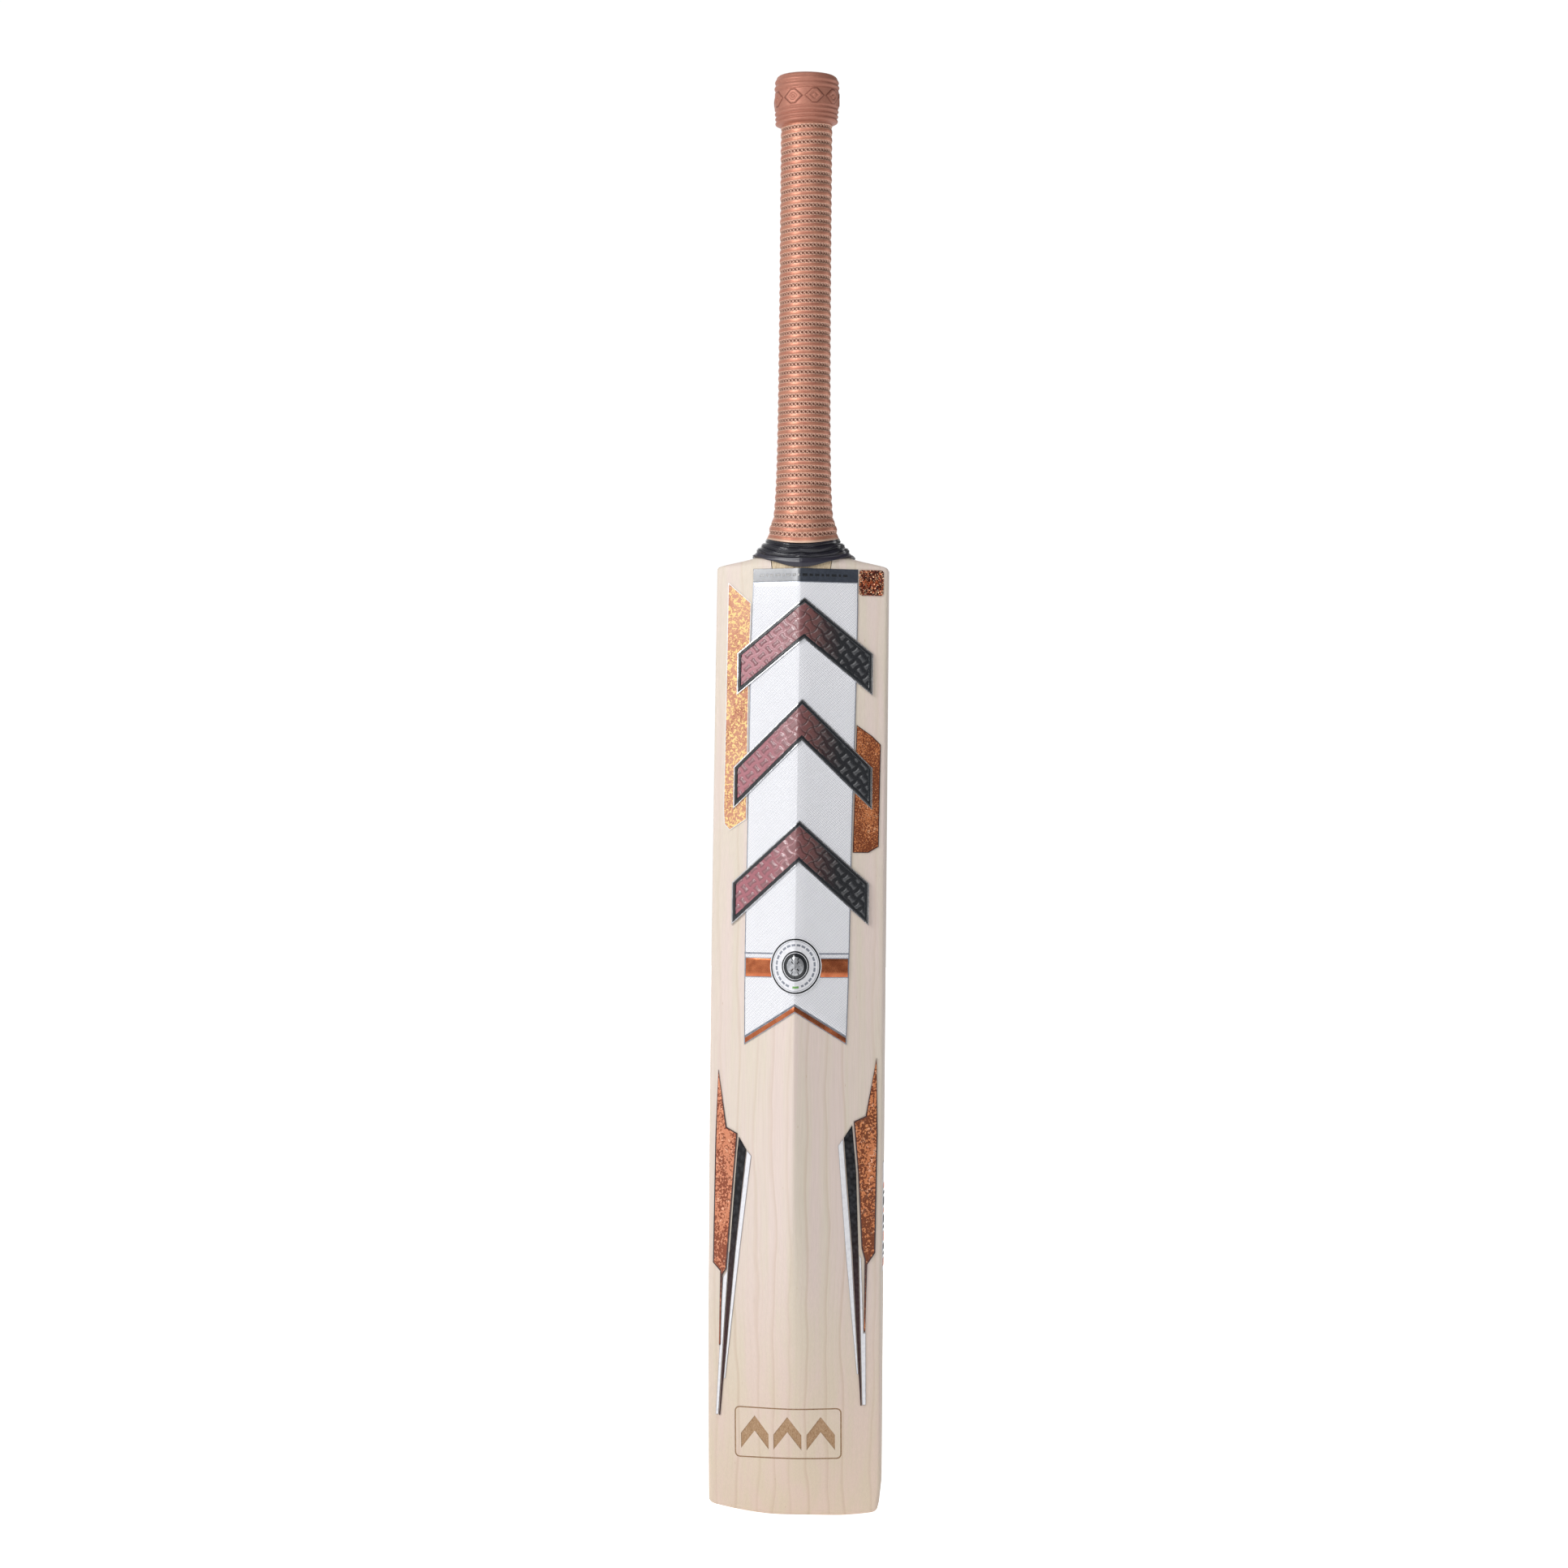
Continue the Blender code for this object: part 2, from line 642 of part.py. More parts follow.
def build_badges():
    """The round badge lies on the band, and the stripes beside it lie on the band too."""
    drape("round_badge", circle(BADGE_CENTRE, BADGE_RADIUS, 32), BADGE_BLACK, EMBLEM_LIFT, STICKER_THICKNESS)
    edges = {"stripe_left": BAND_LEFT[-2][1] + STRIPE_MARGIN, "stripe_right": BAND_RIGHT[-2][1] - STRIPE_MARGIN}
    for name, edge in edges.items():
        inner = BADGE_CENTRE[0] + math.copysign(BADGE_RADIUS + STRIPE_GAP, edge)
        outline = [(inner, STRIPE_BOTTOM), (edge, STRIPE_BOTTOM), (edge, STRIPE_TOP), (inner, STRIPE_TOP)]
        drape(name, outline, COPPER_FOIL, EMBLEM_LIFT, STICKER_THICKNESS)
    left, right, low, high = SQUARE_BADGE
    square = []
    for cx, cz, start in (
        (right - SQUARE_CORNER, high - SQUARE_CORNER, 0),
        (left + SQUARE_CORNER, high - SQUARE_CORNER, 90),
        (left + SQUARE_CORNER, low + SQUARE_CORNER, 180),
        (right - SQUARE_CORNER, low + SQUARE_CORNER, 270),
    ):
        for k in range(4):
            turn = math.radians(start + 30 * k)
            square.append((cx + SQUARE_CORNER * math.cos(turn), cz + SQUARE_CORNER * math.sin(turn)))
    drape("square_badge", square, GLITTER)


def build_bolts():
    """The lower graphics: on each side a copper blade, a black bar, and a white bar inside and outside it."""
    left_copper = [
        (-46, 265), (-40.6, 231.5), (-33.9, 228), (-40.1, 147.5), (-42.4, 144), (-43.2, 127),
        (-43.8, 102), (-44.5, 102), (-44.2, 127), (-43.9, 146), (-48.4, 151), (-47.4, 226),
    ]
    left_black = [
        (-33, 226), (-28.4, 218.6), (-34.8, 159.8), (-43.9, 60), (-44.5, 60), (-38.1, 159.7),
        (-33.9, 217.3),
    ]
    left_inner = [
        (-25.4, 215.1), (-32, 160), (-40.7, 82.3), (-41.5, 82.3), (-34.4, 159.8), (-27.9, 218),
    ]
    left_outer = [
        (-38.6, 157.5), (-45, 60.4), (-46.5, 60.4), (-44.1, 101), (-43.45, 103), (-42.85, 127),
        (-42, 142.6), (-39.8, 146.2), (-39, 157.5),
    ]
    right_copper = [
        (47.7, 273), (48.7, 228.2), (47.8, 158), (43.2, 151.2), (42.2, 111.2), (41.5, 111.2),
        (41.6, 154.1), (39.8, 160.9), (37.4, 206.2), (34.8, 235.8), (41.6, 238.9),
    ]
    right_black = [
        (33.9, 233.6), (36.4, 206.2), (38, 160.9), (40.2, 67.2), (39.6, 67.2), (34.4, 161),
        (29.2, 226.4),
    ]
    right_inner = [
        (26, 221.7), (28.6, 225.6), (33.8, 161), (38.2, 86.2), (37.4, 86.2), (30.6, 161),
    ]
    right_outer = [
        (38.6, 157.2), (39.6, 155.2), (41.1, 110.6), (42.4, 110.6), (42.6, 67.6), (40.6, 67.6),
    ]
    drape("bolt_copper_left", left_copper, COPPER_FLAKE)
    drape("bolt_black_left", left_black, BAR_BLACK)
    drape("bolt_white_inner_left", left_inner, BAR_WHITE)
    drape("bolt_white_outer_left", left_outer, BAR_WHITE)
    drape("bolt_copper_right", right_copper, COPPER_FLAKE)
    drape("bolt_black_right", right_black, BAR_BLACK)
    drape("bolt_white_inner_right", right_inner, BAR_WHITE)
    drape("bolt_white_outer_right", right_outer, BAR_WHITE)


def build_edge_sticker():
    """A narrow sticker down the middle of the right edge."""
    low, high = EDGE_STICKER
    bm = bmesh.new()
    rows = 4
    rings = []
    for k in range(rows + 1):
        z = low + (high - low) * k / rows
        middle = face_y(z) - along(EDGE_DEPTH, z) / 2
        inner = half_width(z) + STICKER_LIFT
        outer = inner + STICKER_THICKNESS
        near, far = middle - EDGE_STICKER_HALF, middle + EDGE_STICKER_HALF
        corners = ((inner, near), (outer, near), (outer, far), (inner, far))
        rings.append([place(bm, x, y, z) for x, y in corners])
    skin(bm, rings)
    bm.faces.new(rings[0])
    bm.faces.new(rings[-1])
    finish("edge_sticker", bm, BADGE_BLACK)


for old in list(bpy.data.objects):
    bpy.data.objects.remove(old)

WILLOW = material("willow", (0.78, 0.66, 0.52), 0.5)
CANE = material("cane", (0.62, 0.45, 0.25), 0.6)
SPRING_RUBBER = material("spring_rubber", (0.05, 0.05, 0.05), 0.8)
TWINE = material("twine", (0.75, 0.70, 0.60), 0.8)
BINDING_BLACK = material("binding_black", (0.02, 0.02, 0.03), 0.25)
GRIP_COPPER = material("grip_copper", (0.50, 0.22, 0.15), 0.4, 0.5)
BAND_WHITE = material("band_white", (0.80, 0.80, 0.84), 0.3)
SLATE = material("slate", (0.05, 0.06, 0.08), 0.3)
EMBLEM_RESIN = material("emblem_resin", (0.22, 0.06, 0.07), 0.3)
COPPER_FLAKE = material("copper_flake", (0.70, 0.30, 0.16), 0.35, 0.7)
COPPER_FOIL = material("copper_foil", (0.72, 0.32, 0.18), 0.3, 0.8)
BADGE_BLACK = material("badge_black", (0.03, 0.03, 0.04), 0.3)
GLITTER = material("glitter", (0.30, 0.06, 0.03), 0.3, 0.7)
BAR_BLACK = material("bar_black", (0.02, 0.02, 0.025), 0.4)
BAR_WHITE = material("bar_white", (0.80, 0.80, 0.82), 0.4)

ENVELOPE = as_cutter(handle_envelope("handle_envelope"))
build_blade()
build_cane()
build_strips()
build_neck_binding()
build_twine()
build_grip()
build_band()
build_emblems()
build_panels()
build_badges()
build_bolts()
build_edge_sticker()
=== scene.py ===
"""The looks of a cricket bat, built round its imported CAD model.

Design values are in millimetres, as in the CAD source: x across the blade, y from back to face, z along the bat.
The stickers are laid out flat as (x, height above the wood, z) and then draped over the blade's back.
"""

import math

import bmesh
import bpy
import numpy as np
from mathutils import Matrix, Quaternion, Vector
from mathutils.bvhtree import BVHTree

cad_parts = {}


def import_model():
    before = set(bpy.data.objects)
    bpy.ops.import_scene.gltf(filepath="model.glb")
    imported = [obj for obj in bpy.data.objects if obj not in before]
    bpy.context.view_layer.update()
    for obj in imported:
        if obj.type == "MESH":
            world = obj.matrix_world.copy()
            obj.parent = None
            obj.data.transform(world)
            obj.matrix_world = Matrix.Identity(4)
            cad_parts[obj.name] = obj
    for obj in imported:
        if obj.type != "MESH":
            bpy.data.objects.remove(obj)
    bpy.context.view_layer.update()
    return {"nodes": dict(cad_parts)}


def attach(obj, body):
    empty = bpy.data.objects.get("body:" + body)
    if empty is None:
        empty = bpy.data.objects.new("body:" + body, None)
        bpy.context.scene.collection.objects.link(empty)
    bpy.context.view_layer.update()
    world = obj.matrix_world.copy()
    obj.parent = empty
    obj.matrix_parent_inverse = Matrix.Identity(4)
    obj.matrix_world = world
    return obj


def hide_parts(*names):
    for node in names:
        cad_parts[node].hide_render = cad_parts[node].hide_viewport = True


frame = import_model()

METRE = 0.001

# --- Sizes shared with the CAD source ---

TOTAL_LENGTH = 860.0
CANE_TOP = 858.5
BLADE_HALF_WIDTH = 51.2
SHOULDER = 563.5
DEPTH_SHIFT = 14.0
BOW = 4.0
FACE_CROWN = 1.2
FACET_HOLLOW = 0.12
FACE_CORNER = 3.0
BACK_CORNER = 2.2
EDGE_DEPTH = ((0, 24), (60, 31), (130, 36.5), (220, 38), (320, 36), (440, 30), (540, 24), (565, 22))
SPINE_DEPTH = ((0, 27), (50, 42), (110, 54), (180, 61), (250, 62), (330, 59), (430, 51), (520, 43), (565, 39.5))
RIDGE_SOFTNESS = ((0, 0.35), (120, 0.12), (200, 0.03), (300, 0.012))
TOE_LOW_POINT = 8.0
TOE_FLAT_HALF = 16.0
TOE_RISE_LEFT = 6.0
TOE_RISE_RIGHT = 2.6
TOE_FADE = 70.0
TOE_ROUNDING = 3.5
TOE_CORNER_TAPER = 1.9
TOE_TAPER_HEIGHT = 18.0
HALF_WIDTH = (
    (SHOULDER, BLADE_HALF_WIDTH), (564.6, 50.2), (566.0, 45.5), (568.0, 36.5), (570.1, 29.2), (572.2, 27.0),
    (576.8, 22.6), (581.7, 18.7), (588.2, 17.0), (595, 15.0), (603, 14.2), (615, 13.5), (640, 12.9), (685, 12.5),
    (CANE_TOP, 12.1),
)
FACE_Y = ((565, 19), (571, 19.2), (582.2, 17.4), (600, 14.8), (640, 13.0), (700, 12.6), (CANE_TOP, 12.3))
RIDGE_Y = ((565, -20.5), (571, -20.2), (582.2, -17.6), (600, -14.8), (640, -13.0), (700, -12.6), (CANE_TOP, -12.3))
ROUND_FROM = 563.5
ROUND_TO = 575.0
SPLICE_TIP = 432.0
SPLICE_SLOPE = 0.1316
SPLICE_TIP_HALF = 0.45
CHEEK_TOP = 578.7
BINDING_TOP, BINDING_TOP_DIP = 583.2, 3.4
BINDING_BOTTOM, BINDING_BOTTOM_DIP = 570.2, 6.6
GRIP_BOTTOM, GRIP_BOTTOM_DIP = 581.2, 3.4
GRIP_OUTER = (
    (581.2, 22.2), (584.2, 20.8), (589.0, 20.1), (594.5, 18.1), (603, 17.3), (615, 16.7), (640, 16.1), (685, 15.7),
    (760, 15.5), (820, 15.5),
)
BAND_TOP = 563.0
BAND_LEFT = ((563.0, -28.9), (546, -29.1), (505, -29.8), (421, -30.0), (335, -30.6), (281, -30.3))
BAND_RIGHT = ((563.0, 33.7), (546, 33.9), (486, 33.4), (421, 32.3), (378, 31.8), (335, 31.4), (281, 30.2))
BAR_HEIGHT = 7.8
TAIL_APEX = 300.1
TAIL_TIP = 281.0
TAIL_STRIPE = 4.2
BADGE_CENTRE = (0.3, 327.2)
BADGE_SIZE = (15.2, 16.9)
STRIPE_BOTTOM, STRIPE_TOP = 320.4, 331.9
EMBLEM_BOXES = {
    "emblem_upper": (-37.8, 43.2, 487.5, 545.5),
    "emblem_middle": (-39.0, 43.6, 419.5, 485.0),
    "emblem_lower": (-39.0, 42.4, 351.0, 413.0),
}
EMBLEM_ARM = 25.0
EDGE_STICKER = (146.0, 210.5)

LIFT = 0.3
FILM = 0.35
FILM_TOP = LIFT + FILM
OVER_BAND = 1.0


# --- Shape of the wood ---


def along(stations, height):
    """The value at a height on a smooth curve through the stations that never overshoots them."""
    if height <= stations[0][0]:
        return stations[0][1]
    if height >= stations[-1][0]:
        return stations[-1][1]
    slopes = [(b[1] - a[1]) / (b[0] - a[0]) for a, b in zip(stations, stations[1:])]

    def tangent(i):
        if i == 0:
            return slopes[0]
        if i == len(slopes):
            return slopes[-1]
        before, after = slopes[i - 1], slopes[i]
        return 0.0 if before * after <= 0 else 2 * before * after / (before + after)

    i = max(k for k, station in enumerate(stations[:-1]) if station[0] <= height)
    span = stations[i + 1][0] - stations[i][0]
    t = (height - stations[i][0]) / span
    start, end = stations[i][1], stations[i + 1][1]
    return (
        (2 * t**3 - 3 * t**2 + 1) * start
        + (t**3 - 2 * t**2 + t) * span * tangent(i)
        + (3 * t**2 - 2 * t**3) * end
        + (t**3 - t**2) * span * tangent(i + 1)
    )


def face_y(z):
    if z < FACE_Y[0][0]:
        return FACE_Y[0][1] - BOW * math.sin(math.pi * z / FACE_Y[0][0])
    return along(FACE_Y, z)


def ridge_y(z):
    if z < RIDGE_Y[0][0]:
        return face_y(z) - along(SPINE_DEPTH, z)
    return along(RIDGE_Y, z)


LEVELS = np.arange(-4.0, 866.0, 0.25)


def sampled(function):
    """A function of height, read from fine samples so that it also takes arrays."""
    values = np.array([function(z) for z in LEVELS])
    return lambda z: np.interp(z, LEVELS, values)


half_width_at = sampled(lambda z: along(HALF_WIDTH, z))
face_at = sampled(face_y)
ridge_at = sampled(ridge_y)
edge_depth_at = sampled(lambda z: along(EDGE_DEPTH, z))
softness_at = sampled(lambda z: along(RIDGE_SOFTNESS, z))
grip_radius_at = sampled(lambda z: along(GRIP_OUTER, z))


def back_at(x, z):
    """The blade's back surface, for numbers or arrays."""
    edge = face_at(z) - edge_depth_at(z)
    softness = softness_at(z)
    t = np.minimum(1.0, np.abs(x) / half_width_at(z))
    t = (np.hypot(t, softness) - softness) / (np.hypot(1.0, softness) - softness)
    return edge + (ridge_at(z) - edge) * (1 - t) * (1 - FACET_HOLLOW * t)


def front_at(x, z):
    return face_at(z) - FACE_CROWN * (x / half_width_at(z)) ** 2


def smoothstep(low, high, value):
    t = np.clip((value - low) / (high - low), 0.0, 1.0)
    return t * t * (3 - 2 * t)


ACROSS = 64
ARC = 5


def arc(x, y, radius, start, sweep, steps=ARC):
    """Points on a circle round (x, y), from one angle through a sweep, in degrees."""
    turns = [math.radians(start + sweep * k / steps) for k in range(steps + 1)]
    return [(x + radius * math.cos(turn), y + radius * math.sin(turn)) for turn in turns]


def blade_outline(z):
    """The blade's outline at one height as (x, y, turn), where turn is the place round the handle's oval."""
    w = float(half_width_at(z))
    inner = w - FACE_CORNER
    shares = []
    for k in range(ACROSS + 1):
        u = 2 * k / ACROSS - 1
        shares.append(0.5 + 0.5 * math.copysign(abs(u) ** 1.5, u))
    points = [(inner * (1 - 2 * s), float(front_at(inner * (1 - 2 * s), z)), 10 * s) for s in shares]
    front_corner = float(front_at(inner, z)) - FACE_CORNER
    near = w - BACK_CORNER
    slope = float(back_at(near + 0.5, z) - back_at(near - 0.5, z))
    lean = math.degrees(math.atan(slope))
    back_corner = float(back_at(near, z)) + BACK_CORNER * math.hypot(1.0, slope)
    front_arc = arc(-inner, front_corner, FACE_CORNER, 90, 90)
    back_arc = arc(-near, back_corner, BACK_CORNER, 180, 90 - lean)
    side = [(*point, 10 + 3 * k / ARC) for k, point in enumerate(front_arc) if k]
    side.append((-w, (front_corner + back_corner) / 2, 14))
    side += [(*point, 15 + 2 * k / ARC) for k, point in enumerate(back_arc)]
    points += side
    points += [(-inner * (1 - 2 * s), float(back_at(inner * (1 - 2 * s), z)), 18 + 10 * s) for s in shares]
    points += [(-x, y, 46 - turn) for x, y, turn in reversed(side)]
    return points


def wood_outline(z):
    """The wood's outline at one height: the blade's shape, turning into the handle's oval over the neck."""
    share = float(smoothstep(ROUND_FROM, ROUND_TO, z))
    middle = float(face_at(z) + ridge_at(z)) / 2
    depth = float(face_at(z) - ridge_at(z)) / 2
    width = float(half_width_at(z))
    ring = []
    for x, y, turn in blade_outline(z):
        angle = math.radians(90 + (turn - 5) * 10)
        oval_x, oval_y = width * math.cos(angle), middle + depth * math.sin(angle)
        ring.append((x + (oval_x - x) * share, y + (oval_y - y) * share))
    return ring


def wood_radii(angles, z):
    """How far the wood reaches from the handle's axis in each direction, at one height."""
    ring = np.array(wood_outline(z))
    turns = np.unwrap(np.arctan2(ring[:, 1], ring[:, 0]))
    reach = np.hypot(ring[:, 0], ring[:, 1])
    order = np.argsort(turns)
    turns, reach = turns[order], reach[order]
    wrapped = turns[0] + np.mod(np.asarray(angles) - turns[0], 2 * math.pi)
    return np.interp(wrapped, np.append(turns, turns[0] + 2 * math.pi), np.append(reach, reach[0]))


def toe_point(x, y, z, inset):
    """A point near the toe: drawn in by the rounding, tapered at one corner and lifted by the curve."""
    middle = float(face_at(z) - edge_depth_at(z) / 2)
    x *= 1 - inset / BLADE_HALF_WIDTH
    y = middle + (y - middle) * (1 - 2 * inset / float(edge_depth_at(z)))
    if x > 0:
        x -= TOE_CORNER_TAPER * max(0.0, 1 - z / TOE_TAPER_HEIGHT) * x / BLADE_HALF_WIDTH
    away = abs(x - TOE_LOW_POINT) - TOE_FLAT_HALF
    rise = 0.0
    if away > 0:
        left = x < TOE_LOW_POINT
        reach = BLADE_HALF_WIDTH + (TOE_LOW_POINT if left else -TOE_LOW_POINT) - TOE_FLAT_HALF
        rise = (TOE_RISE_LEFT if left else TOE_RISE_RIGHT) * (away / reach) ** 1.7
    return x, y, z + rise * max(0.0, 1 - z / TOE_FADE)


# --- Mesh tools ---


def world(x, y, z):
    """Design millimetres as the scene's metres."""
    return x * METRE, (y + DEPTH_SHIFT) * METRE, z * METRE


def bridge(bm, lower, upper, kind=0):
    """A strip of faces between two closed loops of vertices."""
    count = len(lower)
    for k in range(count):
        face = bm.faces.new((lower[k], lower[(k + 1) % count], upper[(k + 1) % count], upper[k]))
        face.material_index = kind


def split_long_faces(bm):
    bmesh.ops.triangulate(bm, faces=[f for f in bm.faces if len(f.verts) > 4])


def link(name, mesh, materials, sharp=35):
    for made in materials:
        mesh.materials.append(made)
    mesh.shade_smooth()
    if sharp:
        mesh.set_sharp_from_angle(angle=math.radians(sharp))
    piece = bpy.data.objects.new(name, mesh)
    bpy.context.scene.collection.objects.link(piece)
    return piece


def from_bmesh(name, bm, materials, sharp=35):
    bmesh.ops.recalc_face_normals(bm, faces=bm.faces)
    if bm.calc_volume(signed=True) < 0:
        bmesh.ops.reverse_faces(bm, faces=bm.faces)
    mesh = bpy.data.meshes.new(name)
    bm.to_mesh(mesh)
    bm.free()
    return link(name, mesh, materials, sharp)


def from_rings(name, rings, material):
    """A ring-shaped tube through rings of points given as an array (ring, point, xyz) in millimetres."""
    rings = np.asarray(rings, float)
    count, size = rings.shape[:2]
    points = rings.reshape(-1, 3) + (0, DEPTH_SHIFT, 0)
    i, k = np.meshgrid(np.arange(count), np.arange(size), indexing="ij")
    i2, k2 = (i + 1) % count, (k + 1) % size
    quads = np.stack([i * size + k, i * size + k2, i2 * size + k2, i2 * size + k], -1).reshape(-1, 4)
    mesh = bpy.data.meshes.new(name)
    mesh.from_pydata((points * METRE).tolist(), [], quads.tolist())
    bm = bmesh.new()
    bm.from_mesh(mesh)
    inside_out = bm.calc_volume(signed=True) < 0
    bm.free()
    if inside_out:
        mesh.flip_normals()
    mesh.update()
    return link(name, mesh, [material], 0)


def give(mesh, name, values):
    """A number at each vertex, for the material to read."""
    layer = mesh.attributes.new(name, "FLOAT", "POINT")
    layer.data.foreach_set("value", np.asarray(values, np.float32).ravel())


def show(piece, node):
    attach(piece, "root")
    if node:
        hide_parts(node)
    return piece


def anticlockwise(outline):
    area = sum(a[0] * b[1] - b[0] * a[1] for a, b in zip(outline, outline[1:] + outline[:1]))
    return outline if area > 0 else outline[::-1]


def inset(outline, distance):
    """An anticlockwise outline with each side moved inwards, with mitred corners."""
    moved = []
    count = len(outline)
    for k in range(count):
        before, here, after = outline[k - 1], outline[k], outline[(k + 1) % count]
        a = Vector((here[0] - before[0], here[1] - before[1])).normalized()
        b = Vector((after[0] - here[0], after[1] - here[1])).normalized()
        na, nb = Vector((-a.y, a.x)), Vector((-b.y, b.x))
        mitre = (na + nb) / max(0.25, 1 + na.dot(nb))
        moved.append((here[0] + mitre.x * distance, here[1] + mitre.y * distance))
    return moved


RIDGE_STRIP = 0.35
GRID_OFFSET = 0.013


def cut_grid(bm, step):
    """Cuts a flat layout along the ridge and along grid lines, so that it can follow the blade."""
    for axis, cuts in ((0, [0.0, RIDGE_STRIP, -RIDGE_STRIP]), (2, [])):
        reach = [v.co[axis] for v in bm.verts]
        low, high = min(reach), max(reach)
        cuts += [k * step + GRID_OFFSET for k in range(math.ceil(low / step), math.floor(high / step) + 1)]
        normal = Vector((axis == 0, 0, axis == 2))
        for level in cuts:
            if low < level < high:
                everything = bm.verts[:] + bm.edges[:] + bm.faces[:]
                bmesh.ops.bisect_plane(bm, geom=everything, dist=1e-4, plane_co=normal * level, plane_no=normal)


def drape(bm):
    """Turns a flat layout (x, height, z) into points over the blade's back, in metres."""
    for v in bm.verts:
        x, height, z = v.co
        v.co = world(x, float(back_at(x, z)) - height, z)


def layout(bm, outline, steps, fill):
    """A closed flat solid. steps are (inset, height, material of the strip that leads to it)."""
    loops = []
    for distance, height, _ in steps:
        loops.append([bm.verts.new((x, height, z)) for x, z in inset(outline, distance)])
    for lower, upper, step in zip(loops, loops[1:], steps[1:]):
        bridge(bm, lower, upper, step[2])
    bm.faces.new(loops[0])
    bm.faces.new(loops[-1]).material_index = fill


def decal(name, node, outline, materials, steps, fill=0, grid=6.0, sharp=30):
    """A sticker built from an outline, with a stepped or rounded rim, draped over the blade."""
    bm = bmesh.new()
    layout(bm, anticlockwise(outline), steps, fill)
    cut_grid(bm, grid)
    split_long_faces(bm)
    drape(bm)
    return show(from_bmesh(name, bm, materials, sharp), node)


def inside_distance(x, z, outline):
    """How far points lie inside an anticlockwise outline; negative outside."""
    nearest = np.full(x.shape, 1e9)
    inside = np.zeros(x.shape, bool)
    for (ax, az), (bx, bz) in zip(outline, outline[1:] + outline[:1]):
        ex, ez = bx - ax, bz - az
        t = np.clip(((x - ax) * ex + (z - az) * ez) / (ex * ex + ez * ez), 0, 1)
        nearest = np.minimum(nearest, np.hypot(x - ax - t * ex, z - az - t * ez))
        if az != bz:
            crosses = (az > z) != (bz > z)
            inside ^= crosses & (x < ax + (z - az) * ex / ez)
    return np.where(inside, nearest, -nearest)


RELIEF_THICKNESS = 0.4


def relief(name, outline, step, margin, height, materials, numbers):
    """A fine grid inside an outline, margin in from its sides. height(x, z) is its height above the wood."""
    outline = anticlockwise(outline)
    lines = []
    for reach in zip(*outline):
        lines.append(np.arange(math.floor(min(reach) / step), math.ceil(max(reach) / step) + 1) * step)
    x, z = np.meshgrid(*lines, indexing="ij")
    centre_x, centre_z = x[:-1, :-1] + step / 2, z[:-1, :-1] + step / 2
    keep = inside_distance(centre_x, centre_z, outline) > margin
    index = np.arange(x.size).reshape(x.shape)
    quads = np.stack([index[:-1, :-1], index[1:, :-1], index[1:, 1:], index[:-1, 1:]], -1)[keep]
    used, quads = np.unique(quads, return_inverse=True)
    quads = quads.reshape(-1, 4)
    x, z = x.ravel()[used], z.ravel()[used]
    points = np.stack([x, back_at(x, z) - height(x, z) + DEPTH_SHIFT, z], -1) * METRE
    mesh = bpy.data.meshes.new(name)
    mesh.from_pydata(points.tolist(), [], quads.tolist())
    mesh.update()
    for key, function in numbers.items():
        give(mesh, key, function(x, z))
    piece = link(name, mesh, materials, 0)
    thick = piece.modifiers.new("thickness", "SOLIDIFY")
    thick.thickness = RELIEF_THICKNESS * METRE
    thick.offset = -1
    return piece


# --- Materials ---


class Nodes:
    """A node tree in the making. Each method adds a node and gives back its output."""

    def __init__(self, tree):
        self.tree = tree

    def new(self, kind):
        return self.tree.nodes.new("ShaderNode" + kind)

    def join(self, value, socket):
        if isinstance(value, bpy.types.NodeSocket):
            self.tree.links.new(value, socket)
        elif isinstance(value, tuple) and socket.type == "RGBA":
            socket.default_value = (*value, 1.0)
        else:
            socket.default_value = value

    def made_from(self, node, *values):
        """Feeds the values to the node's first inputs and gives back its first output."""
        for value, socket in zip(values, node.inputs):
            if value is not None:
                self.join(value, socket)
        return node.outputs[0]

    def math(self, operation, a, b=None, c=None, clamp=False):
        node = self.new("Math")
        node.operation = operation
        node.use_clamp = clamp
        return self.made_from(node, a, b, c)

    def plus(self, a, b):
        return self.math("ADD", a, b)

    def minus(self, a, b):
        return self.math("SUBTRACT", a, b)

    def times(self, a, b, c=0.0):
        """a times b, plus c."""
        return self.math("MULTIPLY_ADD", a, b, c) if c else self.math("MULTIPLY", a, b)

    def band(self, value, low, high, to_low=0.0, to_high=1.0):
        """A smooth step from to_low to to_high as the value goes from low to high."""
        node = self.new("MapRange")
        node.interpolation_type = "SMOOTHSTEP"
        return self.made_from(node, value, low, high, to_low, to_high)


